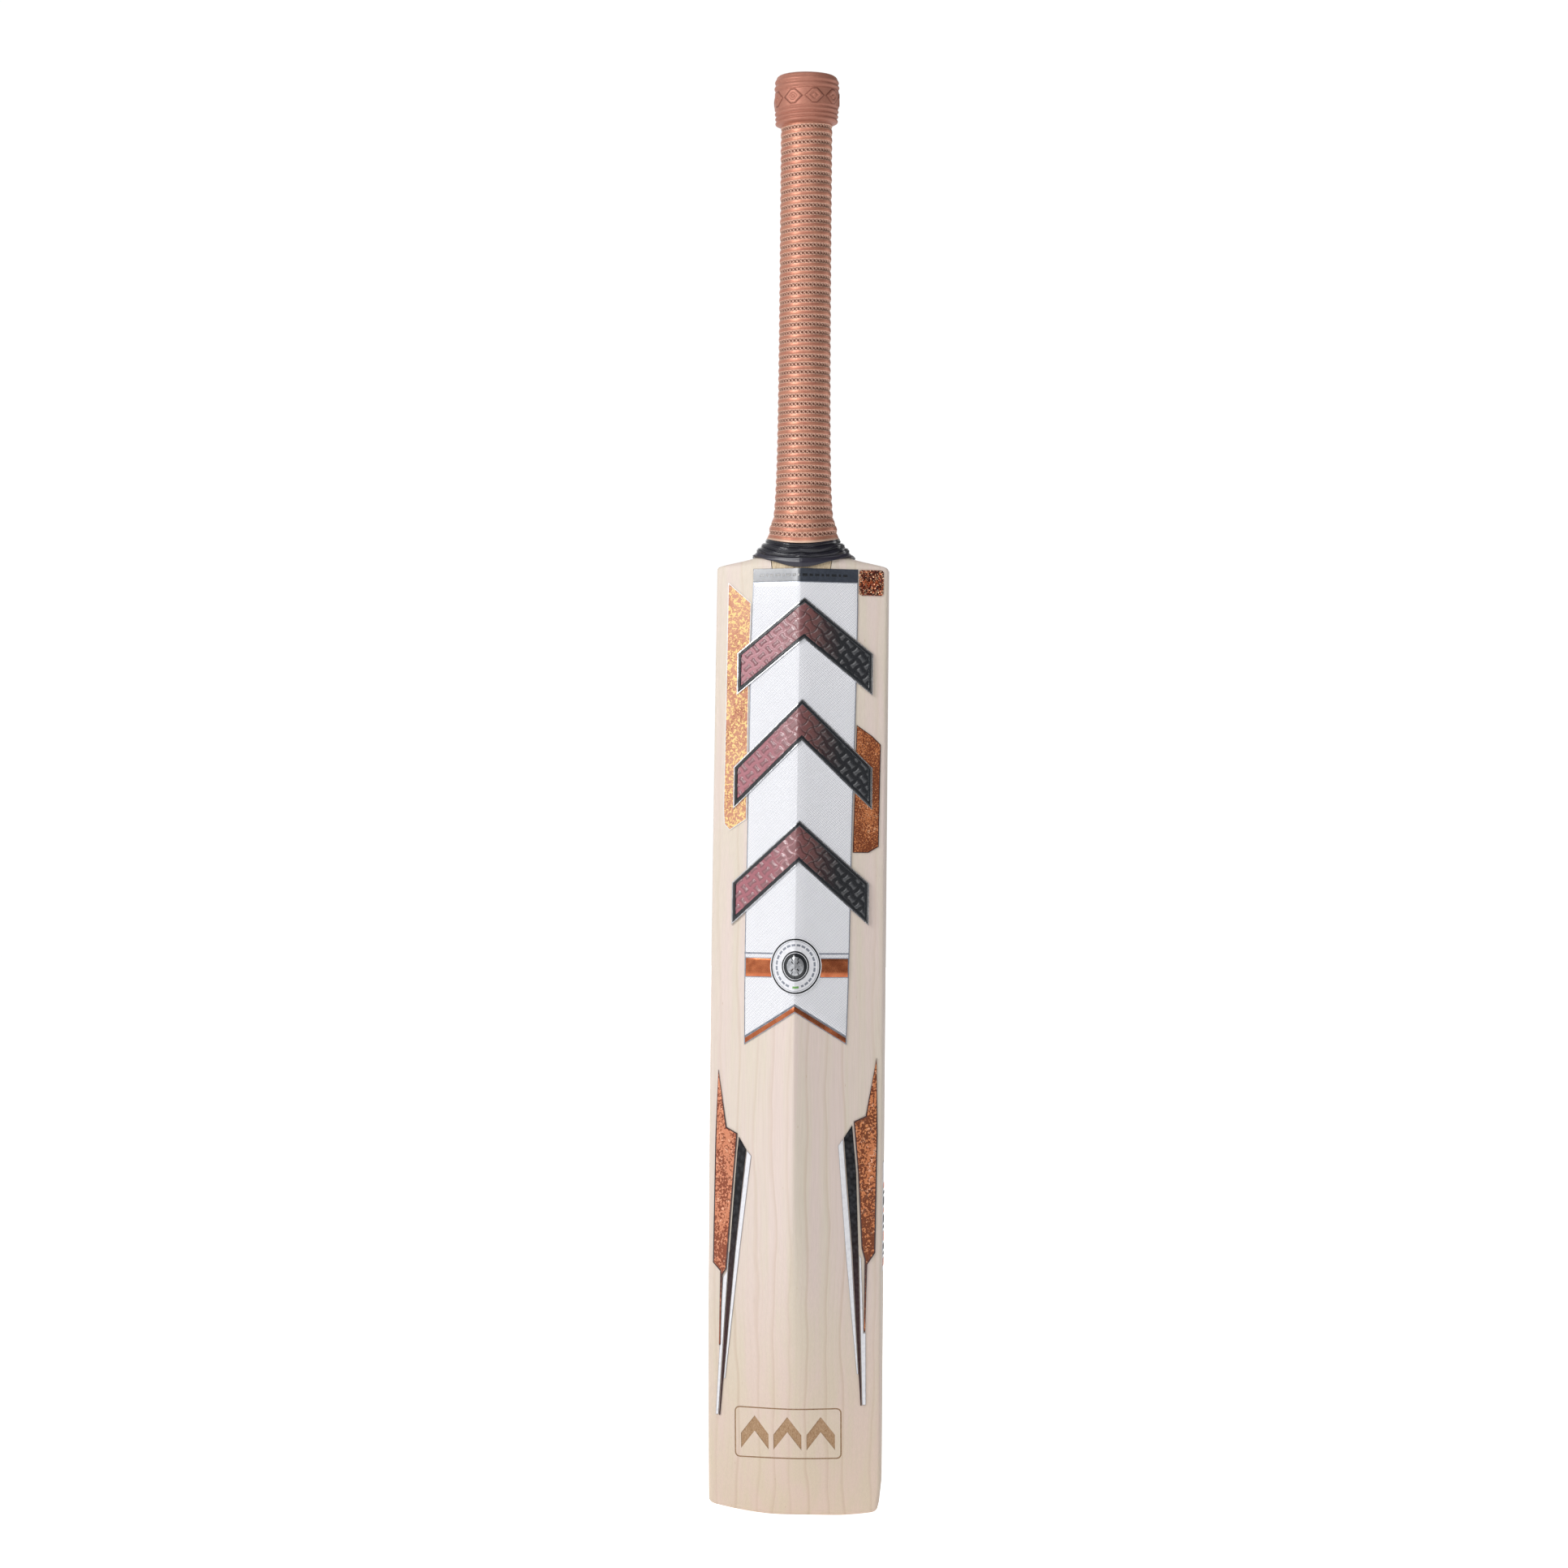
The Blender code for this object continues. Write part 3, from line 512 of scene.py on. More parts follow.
class Shader(Nodes):
    """A material in the making, with the place on the object in design millimetres as x, y, z and mm."""

    def __init__(self, name, roughness=0.5, metallic=0.0, **sockets):
        self.made = bpy.data.materials.new(name)
        self.made.use_nodes = True
        super().__init__(self.made.node_tree)
        self.surface = self.tree.nodes["Principled BSDF"]
        self.set(Roughness=roughness, Metallic=metallic, **sockets)
        scaled = self.new("VectorMath")
        scaled.operation = "SCALE"
        scaled.inputs["Scale"].default_value = 1 / METRE
        self.mm = self.made_from(scaled, self.new("TexCoord").outputs["Object"])
        split = self.new("SeparateXYZ")
        self.made_from(split, self.mm)
        self.x, self.y, self.z = split.outputs

    def set(self, **sockets):
        for key, value in sockets.items():
            self.join(value, self.surface.inputs[key.replace("_", " ")])

    def vector(self, operation, a, b):
        node = self.new("VectorMath")
        node.operation = operation
        return self.made_from(node, a, b)

    def around(self):
        """The angle round the handle's axis."""
        return self.math("ARCTAN2", self.minus(self.y, DEPTH_SHIFT), self.x)

    def wave(self, angle):
        """A sine that runs from 0 to 1."""
        return self.times(self.math("SINE", angle), 0.5, 0.5)

    def swing(self, value, amount):
        """How far a value of 0 to 1 is from its middle, times an amount."""
        return self.times(self.minus(value, 0.5), amount)

    def ramp(self, value, stops):
        """A colour, or a number, for each place from 0 to 1."""
        node = self.new("ValToRGB")
        elements = node.color_ramp.elements
        while len(elements) < len(stops):
            elements.new(0.5)
        for element, (place, _) in zip(elements, stops):
            element.position = place
        for element, (_, color) in zip(elements, stops):
            element.color = (*color, 1.0) if isinstance(color, tuple) else (color, color, color, 1.0)
        return self.made_from(node, value)

    def mix(self, factor, a, b, blend="MIX"):
        node = self.new("Mix")
        node.data_type = "RGBA"
        node.blend_type = blend
        for value, socket in ((factor, "Factor"), (a, 6), (b, 7)):
            self.join(value, node.inputs[socket])
        return node.outputs[2]

    def tint(self, tone, where, share, color):
        """The tone, turned towards a colour by a share of where."""
        return self.mix(self.times(where, share), tone, color)

    def texture(self, kind, source, size, output, **inputs):
        """A texture with lumps of about size millimetres: one number, or one for each axis."""
        sizes = size if isinstance(size, tuple) else (size, size, size)
        node = self.new(kind)
        for key, value in {"Scale": 1.0, **inputs}.items():
            node.inputs[key].default_value = value
        scaled = self.vector("MULTIPLY", self.mm if source is None else source, tuple(1.0 / s for s in sizes))
        self.join(scaled, node.inputs["Vector"])
        return node.outputs[output]

    def noise(self, size, source=None, detail=3.0, roughness=0.55, distortion=0.0):
        return self.texture(
            "TexNoise", source, size, "Fac", Detail=detail, Roughness=roughness, Distortion=distortion)

    def cells(self, size, output="Distance"):
        return self.texture("TexVoronoi", None, size, output)

    def value(self, name):
        """A number that was given to the mesh's vertices."""
        node = self.new("Attribute")
        node.attribute_name = name
        return node.outputs["Fac"]

    def bump(self, height, depth):
        """Bump from a height of 0 to 1 that stands for depth millimetres."""
        node = self.new("Bump")
        node.inputs["Distance"].default_value = depth * METRE
        self.join(height, node.inputs["Height"])
        self.join(node.outputs[0], self.surface.inputs["Normal"])


WILLOW_LINES = (
    (-46, 0.5), (-33.4, 0.9), (-21.3, 0.7), (-12.1, 0.8), (-3.0, 0.6), (7.7, 1.0), (19.7, 0.8), (29.9, 0.9),
    (46.8, 0.6),
)
LINE_SOFT_SIDE, LINE_SHARP_SIDE = 1.76, 0.33
LINE_WANDER = 15.0
LINE_REACH = 60.0
FINE_LINE_PITCH = 2.9


def grain_lines(s):
    """The willow's dark growth lines: 1 on a line and 0 away from it, and the wandering place across the blade."""
    place = s.plus(s.x, s.swing(s.noise((34, 45, 120), detail=2.5), LINE_WANDER))
    span = 2 * LINE_REACH
    stops = [(0.0, 0.0)]
    for x, depth in WILLOW_LINES:
        centre = (x + LINE_REACH) / span
        stops += [(centre - LINE_SOFT_SIDE / span, 0.0), (centre, depth), (centre + LINE_SHARP_SIDE / span, 0.0)]
    return s.ramp(s.math("DIVIDE", s.plus(place, LINE_REACH), span), stops), place


def willow():
    s = Shader("willow", roughness=0.46, Specular_IOR_Level=0.35)
    mark, place = grain_lines(s)
    warm = s.mix(s.band(s.noise((8, 8, 200)), 0.35, 0.66), (0.715, 0.600, 0.550), (0.690, 0.610, 0.515))
    tone = s.mix(s.band(s.z, 10.0, 190.0), s.mix(1.0, warm, (0.98, 0.93, 0.86), "MULTIPLY"), warm)
    fibre = s.noise((0.35, 0.35, 30), detail=4.0, roughness=0.65)
    streak = s.band(fibre, 0.25, 0.8, 0.945, 1.04)
    tone = s.mix(1.0, tone, s.made_from(s.new("CombineXYZ"), streak, streak, streak), "MULTIPLY")
    strength = s.band(s.noise((14, 14, 90), detail=2.0), 0.35, 0.7, 0.15, 1.0)
    ripple = s.math("POWER", s.wave(s.times(place, 2 * math.pi / FINE_LINE_PITCH)), 5.0)
    tone = s.tint(tone, s.times(ripple, strength), 0.13, (0.58, 0.45, 0.34))
    tone = s.tint(tone, mark, s.band(s.z, 40.0, 520.0, 0.50, 0.24), (0.52, 0.38, 0.27))
    tone = s.tint(tone, s.band(s.cells((7, 7, 26)), 0.05, 0.02), 0.4, (0.46, 0.30, 0.18))
    pore = s.band(s.noise((0.16, 0.5, 5), detail=2.0), 0.62, 0.74)
    tone = s.tint(tone, pore, 0.13, (0.55, 0.43, 0.32))
    s.set(Base_Color=tone, Roughness=s.band(fibre, 0.2, 0.8, 0.42, 0.52))
    s.bump(s.minus(s.times(fibre, 0.6), s.plus(s.times(mark, 0.5), s.times(pore, 0.4))), 0.06)
    return s.made


def burnt():
    s = Shader("burnt_willow", roughness=0.75, Specular_IOR_Level=0.2)
    both = s.plus(s.times(s.noise(0.5, detail=4.0), 0.55), s.times(s.noise((0.4, 0.4, 12)), 0.45))
    stops = ((0.34, (0.25, 0.135, 0.068)), (0.5, (0.41, 0.26, 0.15)), (0.68, (0.54, 0.39, 0.26)))
    s.set(Base_Color=s.ramp(both, stops))
    s.bump(both, 0.15)
    return s.made


def cane():
    s = Shader("cane", roughness=0.5, Specular_IOR_Level=0.4)
    fibre = s.noise((0.5, 0.5, 60), detail=4.0)
    pore = s.band(s.cells((0.62, 0.62, 400)), 0.34, 0.20)
    tone = s.ramp(fibre, ((0.3, (0.50, 0.38, 0.24)), (0.55, (0.62, 0.50, 0.34)), (0.75, (0.70, 0.59, 0.43))))
    s.set(Base_Color=s.tint(tone, pore, 0.6, (0.28, 0.18, 0.09)))
    s.bump(s.minus(fibre, pore), 0.05)
    return s.made


def spring_rubber():
    s = Shader("spring_rubber", roughness=0.75)
    grain = s.noise(0.4, detail=4.0)
    s.set(Base_Color=s.ramp(grain, ((0.3, 0.016), (0.7, 0.04))))
    s.bump(grain, 0.04)
    return s.made


TWINE_PITCH = 1.1


def twine():
    s = Shader("twine", roughness=0.8, Sheen_Weight=0.2)
    rope = s.wave(s.plus(s.times(s.z, 2 * math.pi / TWINE_PITCH), s.around()))
    fuzz = s.noise(0.3, detail=4.0)
    tone = s.mix(fuzz, (0.50, 0.43, 0.32), (0.78, 0.71, 0.58))
    # The dark brown where the rope wave is low is painted shade in the grooves between the turns.
    s.set(Base_Color=s.mix(s.band(rope, 0.35, 0.0), tone, (0.26, 0.19, 0.12)))
    s.bump(s.plus(rope, s.times(fuzz, 0.25)), 0.5)
    return s.made


def binding_black():
    s = Shader("binding_black", roughness=0.14, Specular_IOR_Level=0.55)
    strand = s.math("SINE", s.plus(s.times(s.value("strand"), 2 * math.pi), s.around()))
    wobble = s.noise((5, 5, 1.2), detail=2.0)
    skirt = s.value("skirt")
    tone = s.ramp(wobble, ((0.3, (0.006, 0.006, 0.010)), (0.7, (0.014, 0.013, 0.022))))
    s.set(Base_Color=s.mix(skirt, tone, (0.022, 0.020, 0.034)))
    s.set(Roughness=s.times(skirt, 0.20, s.band(s.noise(0.5), 0.3, 0.8, 0.10, 0.18)))
    s.bump(s.plus(s.times(strand, 0.5), s.times(wobble, 0.6)), 0.03)
    return s.made


def grip_copper():
    s = Shader("grip_copper", roughness=0.40, Specular_IOR_Level=0.4)
    hole, crest = s.value("hole"), s.value("crest")
    cuff = s.band(s.z, 829.0, 831.0)
    dust = s.noise(0.45, detail=4.0, roughness=0.7)
    copper = s.mix(s.band(s.noise(9.0), 0.3, 0.7), (0.46, 0.175, 0.120), (0.53, 0.225, 0.150))
    gold = s.mix(s.band(dust, 0.48, 0.80), copper, (0.78, 0.42, 0.25))
    tone = s.mix(cuff, gold, s.mix(s.band(dust, 0.45, 0.8), (0.42, 0.170, 0.120), (0.58, 0.29, 0.20)))
    # Painted highlight: the hatch band (crest) is tinted pale pink to stand for light caught on the raised
    # strokes.
    tone = s.tint(tone, crest, 0.9, (0.92, 0.58, 0.44))
    # Painted shade: the carved holes between the strokes, and the line round the cuff's lozenges, are darkened
    # nearly to black-brown.
    tone = s.tint(tone, hole, 0.95, (0.11, 0.026, 0.014))
    s.set(Base_Color=s.mix(s.value("lip"), tone, (0.72, 0.50, 0.38)))
    s.set(Roughness=s.plus(s.band(dust, 0.3, 0.8, 0.34, 0.50), s.times(cuff, 0.07)))
    s.set(Metallic=s.minus(s.times(hole, 0.35, s.times(crest, -0.1, 0.55)), s.times(cuff, 0.15)))
    s.bump(dust, 0.06)
    return s.made


WEAVE_PITCH = 1.45
WEAVE_SECOND = 1.6


def weave_white():
    """White film with a fine diagonal weave pressed in."""
    s = Shader("band_white", roughness=0.3, Coat_Weight=0.35, Coat_Roughness=0.12)
    first = s.math("SINE", s.times(s.plus(s.x, s.z), 2 * math.pi / WEAVE_PITCH))
    second = s.math("SINE", s.times(s.minus(s.x, s.z), 2 * math.pi / (WEAVE_PITCH * WEAVE_SECOND)))
    pattern = s.math("MULTIPLY_ADD", s.plus(first, s.times(second, 0.6)), 0.31, 0.5, clamp=True)
    # The grey where the weave pattern is low is painted shade in the pressed-in grooves.
    tone = s.tint((0.80, 0.80, 0.835), s.band(pattern, 0.6, 0.1), 0.9, (0.60, 0.61, 0.66))
    s.set(Base_Color=s.tint(tone, s.band(s.noise(14.0, detail=4.0), 0.5, 0.8), 0.06, (0.70, 0.68, 0.66)))
    s.set(Roughness=s.band(pattern, 0.2, 0.8, 0.36, 0.26))
    s.bump(pattern, 0.22)
    return s.made


def film(name, light, dark, roughness, coat=0.5, size=2.0, metallic=0.0):
    """Plain printed film: a faint mottle and a trace of orange peel under the gloss."""
    s = Shader(name, roughness=roughness, metallic=metallic, Coat_Weight=coat, Coat_Roughness=0.1)
    mottle = s.noise(size, detail=4.0)
    s.set(Base_Color=s.mix(s.band(mottle, 0.3, 0.7), dark, light))
    s.set(Roughness=s.band(mottle, 0.2, 0.8, roughness * 0.85, roughness * 1.2))
    s.bump(mottle, 0.02)
    return s.made


RESIN_REACH = 45.0


def resin():
    """Rose on the left and black past the ridge, with other colours inside the cells and on their rims. The grey
    of the cells and rims on the black side is painted sheen.
    """
    s = Shader("emblem_resin", roughness=0.28, Coat_Weight=0.5, Coat_Roughness=0.12)
    place = s.math("DIVIDE", s.plus(s.x, RESIN_REACH), 2 * RESIN_REACH)
    ground = s.ramp(place, (
        (0.05, (0.40, 0.135, 0.165)), (0.32, (0.34, 0.110, 0.135)), (0.49, (0.25, 0.080, 0.090)),
        (0.56, (0.15, 0.042, 0.045)), (0.66, (0.045, 0.020, 0.023)), (0.76, (0.012, 0.013, 0.016)),
        (1.0, (0.010, 0.012, 0.016))))
    # Past the ridge the cells turn grey on the black ground: painted sheen on the raised cells.
    inside = s.ramp(place, (
        (0.05, (0.30, 0.150, 0.165)), (0.32, (0.28, 0.130, 0.145)), (0.49, (0.23, 0.095, 0.100)),
        (0.56, (0.17, 0.065, 0.062)), (0.68, (0.070, 0.045, 0.045)), (0.80, (0.058, 0.060, 0.066)),
        (1.0, (0.058, 0.061, 0.068))))
    # The rims' grey at the right end is painted sheen too.
    edge = s.ramp(place, (
        (0.05, (0.13, 0.045, 0.055)), (0.30, (0.15, 0.055, 0.065)), (0.40, (0.55, 0.33, 0.35)),
        (0.49, (0.48, 0.26, 0.27)), (0.53, (0.030, 0.014, 0.014)), (0.72, (0.012, 0.011, 0.013)),
        (1.0, (0.06, 0.062, 0.068))))
    fine = s.noise(0.35)
    tone = s.tint(s.mix(s.value("cell"), ground, inside), s.value("rim"), 0.75, edge)
    s.set(Base_Color=s.tint(tone, s.band(fine, 0.5, 0.8), 0.18, (0.02, 0.01, 0.01)))
    s.set(Roughness=s.band(fine, 0.3, 0.7, 0.24, 0.36))
    s.bump(fine, 0.03)
    return s.made


def chrome():
    s = Shader("rim_chrome", roughness=0.2, metallic=1.0)
    ripple = s.noise((1, 1, 5))
    s.set(Base_Color=s.ramp(ripple, ((0.3, (0.640, 0.656, 0.688)), (0.7, (0.800, 0.800, 0.816)))))
    s.set(Roughness=s.band(ripple, 0.3, 0.7, 0.16, 0.3))
    s.bump(ripple, 0.05)
    return s.made


def flake(name, base, base_alt, bright, dark, bright_from, dark_from, size=1.0, denser_below=None, metallic=0.35):
    """Copper foil with gold flakes and crackled dark patches. Both come and go along the panel."""
    s = Shader(name, roughness=0.5, metallic=metallic, Specular_IOR_Level=0.25)
    patches = s.noise((13.0, 13.0, 20.8), detail=2.0)
    lumps = s.noise(1.7 * size, detail=5.0, roughness=0.6, distortion=1.1)
    elsewhere = s.vector("ADD", s.mm, (31.0, 7.0, 19.0))
    crumbs = s.noise(0.8 * size, elsewhere, detail=4.0, roughness=0.6)
    tone = s.mix(s.band(patches, 0.35, 0.65), base, base_alt)
    brightness = s.plus(lumps, s.swing(patches, 0.14))
    tone = s.mix(s.band(brightness, bright_from, bright_from + 0.02), tone, bright)
    darkness = s.minus(crumbs, s.swing(patches, 0.45))
    if denser_below:
        darkness = s.plus(darkness, s.band(s.z, denser_below, denser_below - 110, -0.02, 0.08))
    cracked = s.band(darkness, dark_from, dark_from + 0.03)
    s.set(Base_Color=s.tint(tone, cracked, 0.85, dark), Roughness=s.band(lumps, 0.3, 0.7, 0.42, 0.58))
    s.bump(s.minus(lumps, s.times(cracked, 0.6)), 0.12)
    return s.made


def glitter():
    """Dark red film full of small mirrors, each tilted and tinted its own way."""
    s = Shader("glitter", roughness=0.22, metallic=0.75, Coat_Weight=0.6, Coat_Roughness=0.06)
    split = s.new("SeparateXYZ")
    s.made_from(split, s.cells(0.62, "Color"))
    first, second, third = split.outputs
    s.set(Base_Color=s.ramp(first, (
        (0.25, (0.05, 0.007, 0.005)), (0.5, (0.26, 0.045, 0.020)), (0.75, (0.60, 0.18, 0.07)),
        (0.92, (0.95, 0.62, 0.40)))))
    s.bump(s.plus(s.swing(second, s.x), s.swing(third, s.z)), 0.5)
    return s.made


def scaly_black():
    """Black film pressed with small scales, turning maroon towards the toe."""
    s = Shader("bar_black", roughness=0.34, Specular_IOR_Level=0.25)
    scale = s.cells((2.3, 2.3, 2.875))
    tone = s.mix(s.band(scale, 0.25, 0.7), (0.022, 0.023, 0.027), (0.006, 0.006, 0.008))
    s.set(Base_Color=s.mix(s.band(s.z, 190.0, 110.0, 0.0, 0.7), tone, (0.055, 0.018, 0.018)))
    s.set(Roughness=s.band(s.noise(1.2), 0.3, 0.7, 0.28, 0.42))
    s.bump(scale, 0.5)
    return s.made


WILLOW = willow()
BURNT = burnt()
CANE = cane()
SPRING_RUBBER = spring_rubber()
TWINE = twine()
BINDING = binding_black()
GRIP = grip_copper()
WHITE = weave_white()
SLATE = film("slate", (0.040, 0.048, 0.066), (0.030, 0.037, 0.052), 0.2, coat=1.0)
RESIN = resin()
BLACK = film("gloss_black", (0.012, 0.015, 0.020), (0.007, 0.009, 0.012), 0.16, coat=1.0)
SATIN_BLACK = scaly_black()
CHROME = chrome()
GREY_LINE = film("grey_line", (0.30, 0.32, 0.37), (0.22, 0.24, 0.29), 0.3, metallic=0.3)
FILM_EDGE = film("film_edge", (0.80, 0.79, 0.80), (0.70, 0.69, 0.70), 0.3)
PANEL_LEFT = flake(
    "flake_left", (0.54, 0.235, 0.145), (0.57, 0.275, 0.185), (0.92, 0.66, 0.28), (0.30, 0.075, 0.04),
    bright_from=0.525, dark_from=0.64, size=1.1, metallic=0.08)
PANEL_RIGHT = flake(
    "flake_right", (0.66, 0.24, 0.09), (0.58, 0.20, 0.075), (0.85, 0.45, 0.24), (0.13, 0.024, 0.010),
    bright_from=0.60, dark_from=0.452)
BOLT_LEFT = flake(
    "bolt_flake_left", (0.70, 0.285, 0.165), (0.62, 0.235, 0.130), (0.86, 0.48, 0.32), (0.20, 0.042, 0.022),
    bright_from=0.60, dark_from=0.500, size=1.7, denser_below=215)
BOLT_RIGHT = flake(
    "bolt_flake_right", (0.76, 0.30, 0.125), (0.66, 0.235, 0.100), (0.90, 0.52, 0.34), (0.11, 0.020, 0.010),
    bright_from=0.60, dark_from=0.462, size=1.7, denser_below=225)
FOIL = film("copper_foil", (0.68, 0.215, 0.09), (0.52, 0.14, 0.055), 0.24, coat=0.2, size=5.0, metallic=0.92)
FOIL_DARK_RIM = film("foil_dark_rim", (0.060, 0.014, 0.012), (0.030, 0.008, 0.008), 0.3, metallic=0.2)
GLITTER = glitter()
SILVER = film("silver_print", (0.62, 0.63, 0.66), (0.42, 0.43, 0.46), 0.25, coat=0.6, metallic=0.7)
BAR_WHITE = film("bar_white", (0.80, 0.80, 0.83), (0.72, 0.72, 0.76), 0.3)
LEAF = film("leaf_green", (0.20, 0.42, 0.12), (0.13, 0.32, 0.08), 0.35)


# --- Blade ---


TOE_STEPS = 6


def loft(name, heights, material):
    """The solid blade, through its outlines at the heights and a quarter round at the toe."""
    levels = []
    for k in range(TOE_STEPS + 1):
        turn = math.radians(90 * k / TOE_STEPS)
        levels.append((TOE_ROUNDING * (1 - math.cos(turn)), TOE_ROUNDING * (1 - math.sin(turn))))
    levels += [(z, 0.0) for z in heights]
    bm = bmesh.new()
    rings = []
    for z, drawn_in in levels:
        rings.append([bm.verts.new(world(*toe_point(x, y, z, drawn_in))) for x, y in wood_outline(z)])
    for lower, upper in zip(rings, rings[1:]):
        bridge(bm, lower, upper)
    ring = rings[0]
    side = (len(ring) - 2 * (ACROSS + 1)) // 2
    face, left = ring[: ACROSS + 1], ring[ACROSS + 1 : ACROSS + 1 + side]
    back, right = ring[ACROSS + 1 + side : 2 * ACROSS + 2 + side], ring[2 * ACROSS + 2 + side :]
    for k in range(ACROSS):
        bm.faces.new((face[k], face[k + 1], back[ACROSS - k - 1], back[ACROSS - k]))
    bm.faces.new([face[ACROSS], *left, back[0]])
    bm.faces.new([back[ACROSS], *right, face[0]])
    bm.faces.new(rings[-1])
    bmesh.ops.triangulate(bm, faces=bm.faces[:])
    return from_bmesh(name, bm, [material])


def carve(target, cutters):
    """Cuts the cutters from the target for good, and removes them."""
    for cutter in cutters:
        step = target.modifiers.new("cut", "BOOLEAN")
        step.operation = "DIFFERENCE"
        step.solver = "EXACT"
        step.material_mode = "TRANSFER"
        step.object = cutter
    bpy.context.view_layer.update()
    graph = bpy.context.evaluated_depsgraph_get()
    mesh = bpy.data.meshes.new_from_object(target.evaluated_get(graph))
    target.modifiers.clear()
    target.data = mesh
    for cutter in cutters:
        bpy.data.objects.remove(cutter)
    mesh.shade_smooth()
    mesh.set_sharp_from_angle(angle=math.radians(28))


def box(left, right, low, high):
    return [(left, low), (right, low), (right, high), (left, high)]


def chevron(left, right, bottom, top, arm):
    middle = (left + right) / 2
    lower = [(left, bottom), (middle, top - arm), (right, bottom)]
    return lower + [(right, bottom + arm), (middle, top), (left, bottom + arm)]


def rounded_box(left, right, low, high, corner):
    sides = (right - corner, left + corner, left + corner, right - corner)
    ends = (high - corner, high - corner, low + corner, low + corner)
    return [point for k in range(4) for point in arc(sides[k], ends[k], corner, 90 * k, 90)]


BURN_DEPTH = 0.35
BURN_ABOVE = 1.5
BURN_LINE = 0.75
BURN_FRAME = (-35.0, 28.5, 35.2, 66.1)
BURN_FRAME_CORNER = 3.0
BURN_CHEVRON = {"bottom": 40.7, "top": 60.9, "arm": 9.2}
BURN_CHEVRON_LEFT, BURN_CHEVRON_WIDTH, BURN_CHEVRON_PITCH = -31.2, 16.6, 19.6
BURN_GRID = 2.9
BURN_MARGIN = 4.0
BURN_DEEPEST = 10.0


def surface_tree(mesh):
    return BVHTree.FromPolygons([v.co for v in mesh.vertices], [tuple(p.vertices) for p in mesh.polygons])


def surface_y(tree, x, z):
    """Where the back of the wood lies at a place, all in metres."""
    hit = tree.ray_cast(Vector((x, -0.2, z)), Vector((0, 1, 0)))[0]
    return hit.y if hit else None


def pocket(name, outline, tree, line_width=None):
    """A cutter for burnt-in artwork: a filled shape, or only a line round it."""
    bm = bmesh.new()
    outline = anticlockwise(outline)
    if line_width is None:
        layout(bm, outline, [(0, -BURN_DEPTH, 0), (0, BURN_ABOVE, 0)], 0)
    else:
        loops = []
        for distance, height in (
            (0, -BURN_DEPTH), (0, BURN_ABOVE), (line_width, BURN_ABOVE), (line_width, -BURN_DEPTH),
        ):
            loops.append([bm.verts.new((x, height, z)) for x, z in inset(outline, distance)])
        for lower, upper in zip(loops, loops[1:] + loops[:1]):
            bridge(bm, lower, upper)
    cut_grid(bm, BURN_GRID)
    bmesh.ops.triangulate(bm, faces=bm.faces[:])
    for v in bm.verts:
        x, height, z = v.co
        v.co = Vector((x * METRE, surface_y(tree, x * METRE, z * METRE) - height * METRE, z * METRE))
    return from_bmesh(name, bm, [BURNT])


def mark_burnt(mesh, tree):
    """Gives the burnt finish to the faces that lie below the uncut surface, inside the engraved area."""
    mesh.materials.append(BURNT)
    index = len(mesh.materials) - 1
    left, _, low, high = (limit * METRE for limit in BURN_FRAME)
    margin = BURN_MARGIN * METRE
    for face in mesh.polygons:
        x, y, z = face.center
        if abs(x) < margin - left and low - margin < z < high + margin and y < BURN_DEEPEST * METRE:
            level = surface_y(tree, x, z)
            if level is not None and 0.25 * BURN_DEPTH * METRE < y - level:
                face.material_index = index


SPLICE_CLEARANCE = 0.1
SPLICE_CUT_BACK, SPLICE_CUT_FRONT, SPLICE_CUT_ABOVE = -80, 60, 20


def splice_cutter():
    """The V-shaped slot for the handle, with room for the glue."""
    top, bottom = CANE_TOP + SPLICE_CUT_ABOVE, SPLICE_TIP - SPLICE_CLEARANCE
    low = SPLICE_TIP_HALF + SPLICE_CLEARANCE
    high = (top - SPLICE_TIP) * SPLICE_SLOPE + SPLICE_CLEARANCE
    outline = [(-low, bottom), (low, bottom), (high, top), (-high, top)]
    bm = bmesh.new()
    ends = []
    for y in (SPLICE_CUT_BACK, SPLICE_CUT_FRONT):
        ends.append([bm.verts.new(world(x, y, z)) for x, z in outline])
        bm.faces.new(ends[-1])
    bridge(bm, *ends)
    return from_bmesh("splice_cutter", bm, [WILLOW])


def build_blade():
    heights = [TOE_ROUNDING + 3.0, 10, 14, 18, 23, *range(29, 545, 6), 548, 553, 558, 561]
    heights += [SHOULDER + 0.55 * k for k in range(24)] + [576.9, 577.9, CHEEK_TOP]
    blade = loft("willow_blade", heights, WILLOW)
    tree = surface_tree(blade.data)
    cutters = [splice_cutter()]
    cutters.append(pocket("engraved_line", rounded_box(*BURN_FRAME, BURN_FRAME_CORNER), tree, BURN_LINE))
    for k in range(3):
        left = BURN_CHEVRON_LEFT + BURN_CHEVRON_PITCH * k
        mark = chevron(left, left + BURN_CHEVRON_WIDTH, **BURN_CHEVRON)
        cutters.append(pocket(f"engraved_chevron_{k}", mark, tree))
    carve(blade, cutters)
    mark_burnt(blade.data, tree)
    show(blade, "blade")


# --- Wrappings ---


def dipped(level, dip, angles):
    return level - dip * np.sin(angles) ** 2


def turns_round(columns):
    return np.arange(columns) * 2 * math.pi / columns


def circle(radius, angles, z):
    return np.stack([radius * np.cos(angles), radius * np.sin(angles), z], -1)


ROLL_START = 2.2
ROLL_HEIGHT = 2.85
ROLL_COUNT = 3
ROLL_ROUNDNESS = 0.65
ROLL_RINGS = 66
CORD_PITCH, CORD_DEPTH = 0.82, 0.11
WRAP_THIN, WRAP_THICK = 1.55, 2.75
WRAP_LINING = 0.12
SKIRT_RINGS = 16
SKIRT_SWELL = 0.5
SKIRT_TAPER = 0.35
WRAP_COLUMNS = 180
WRAP_LOW, WRAP_HIGH, WRAP_SAMPLE = 560.0, 590.0, 0.25


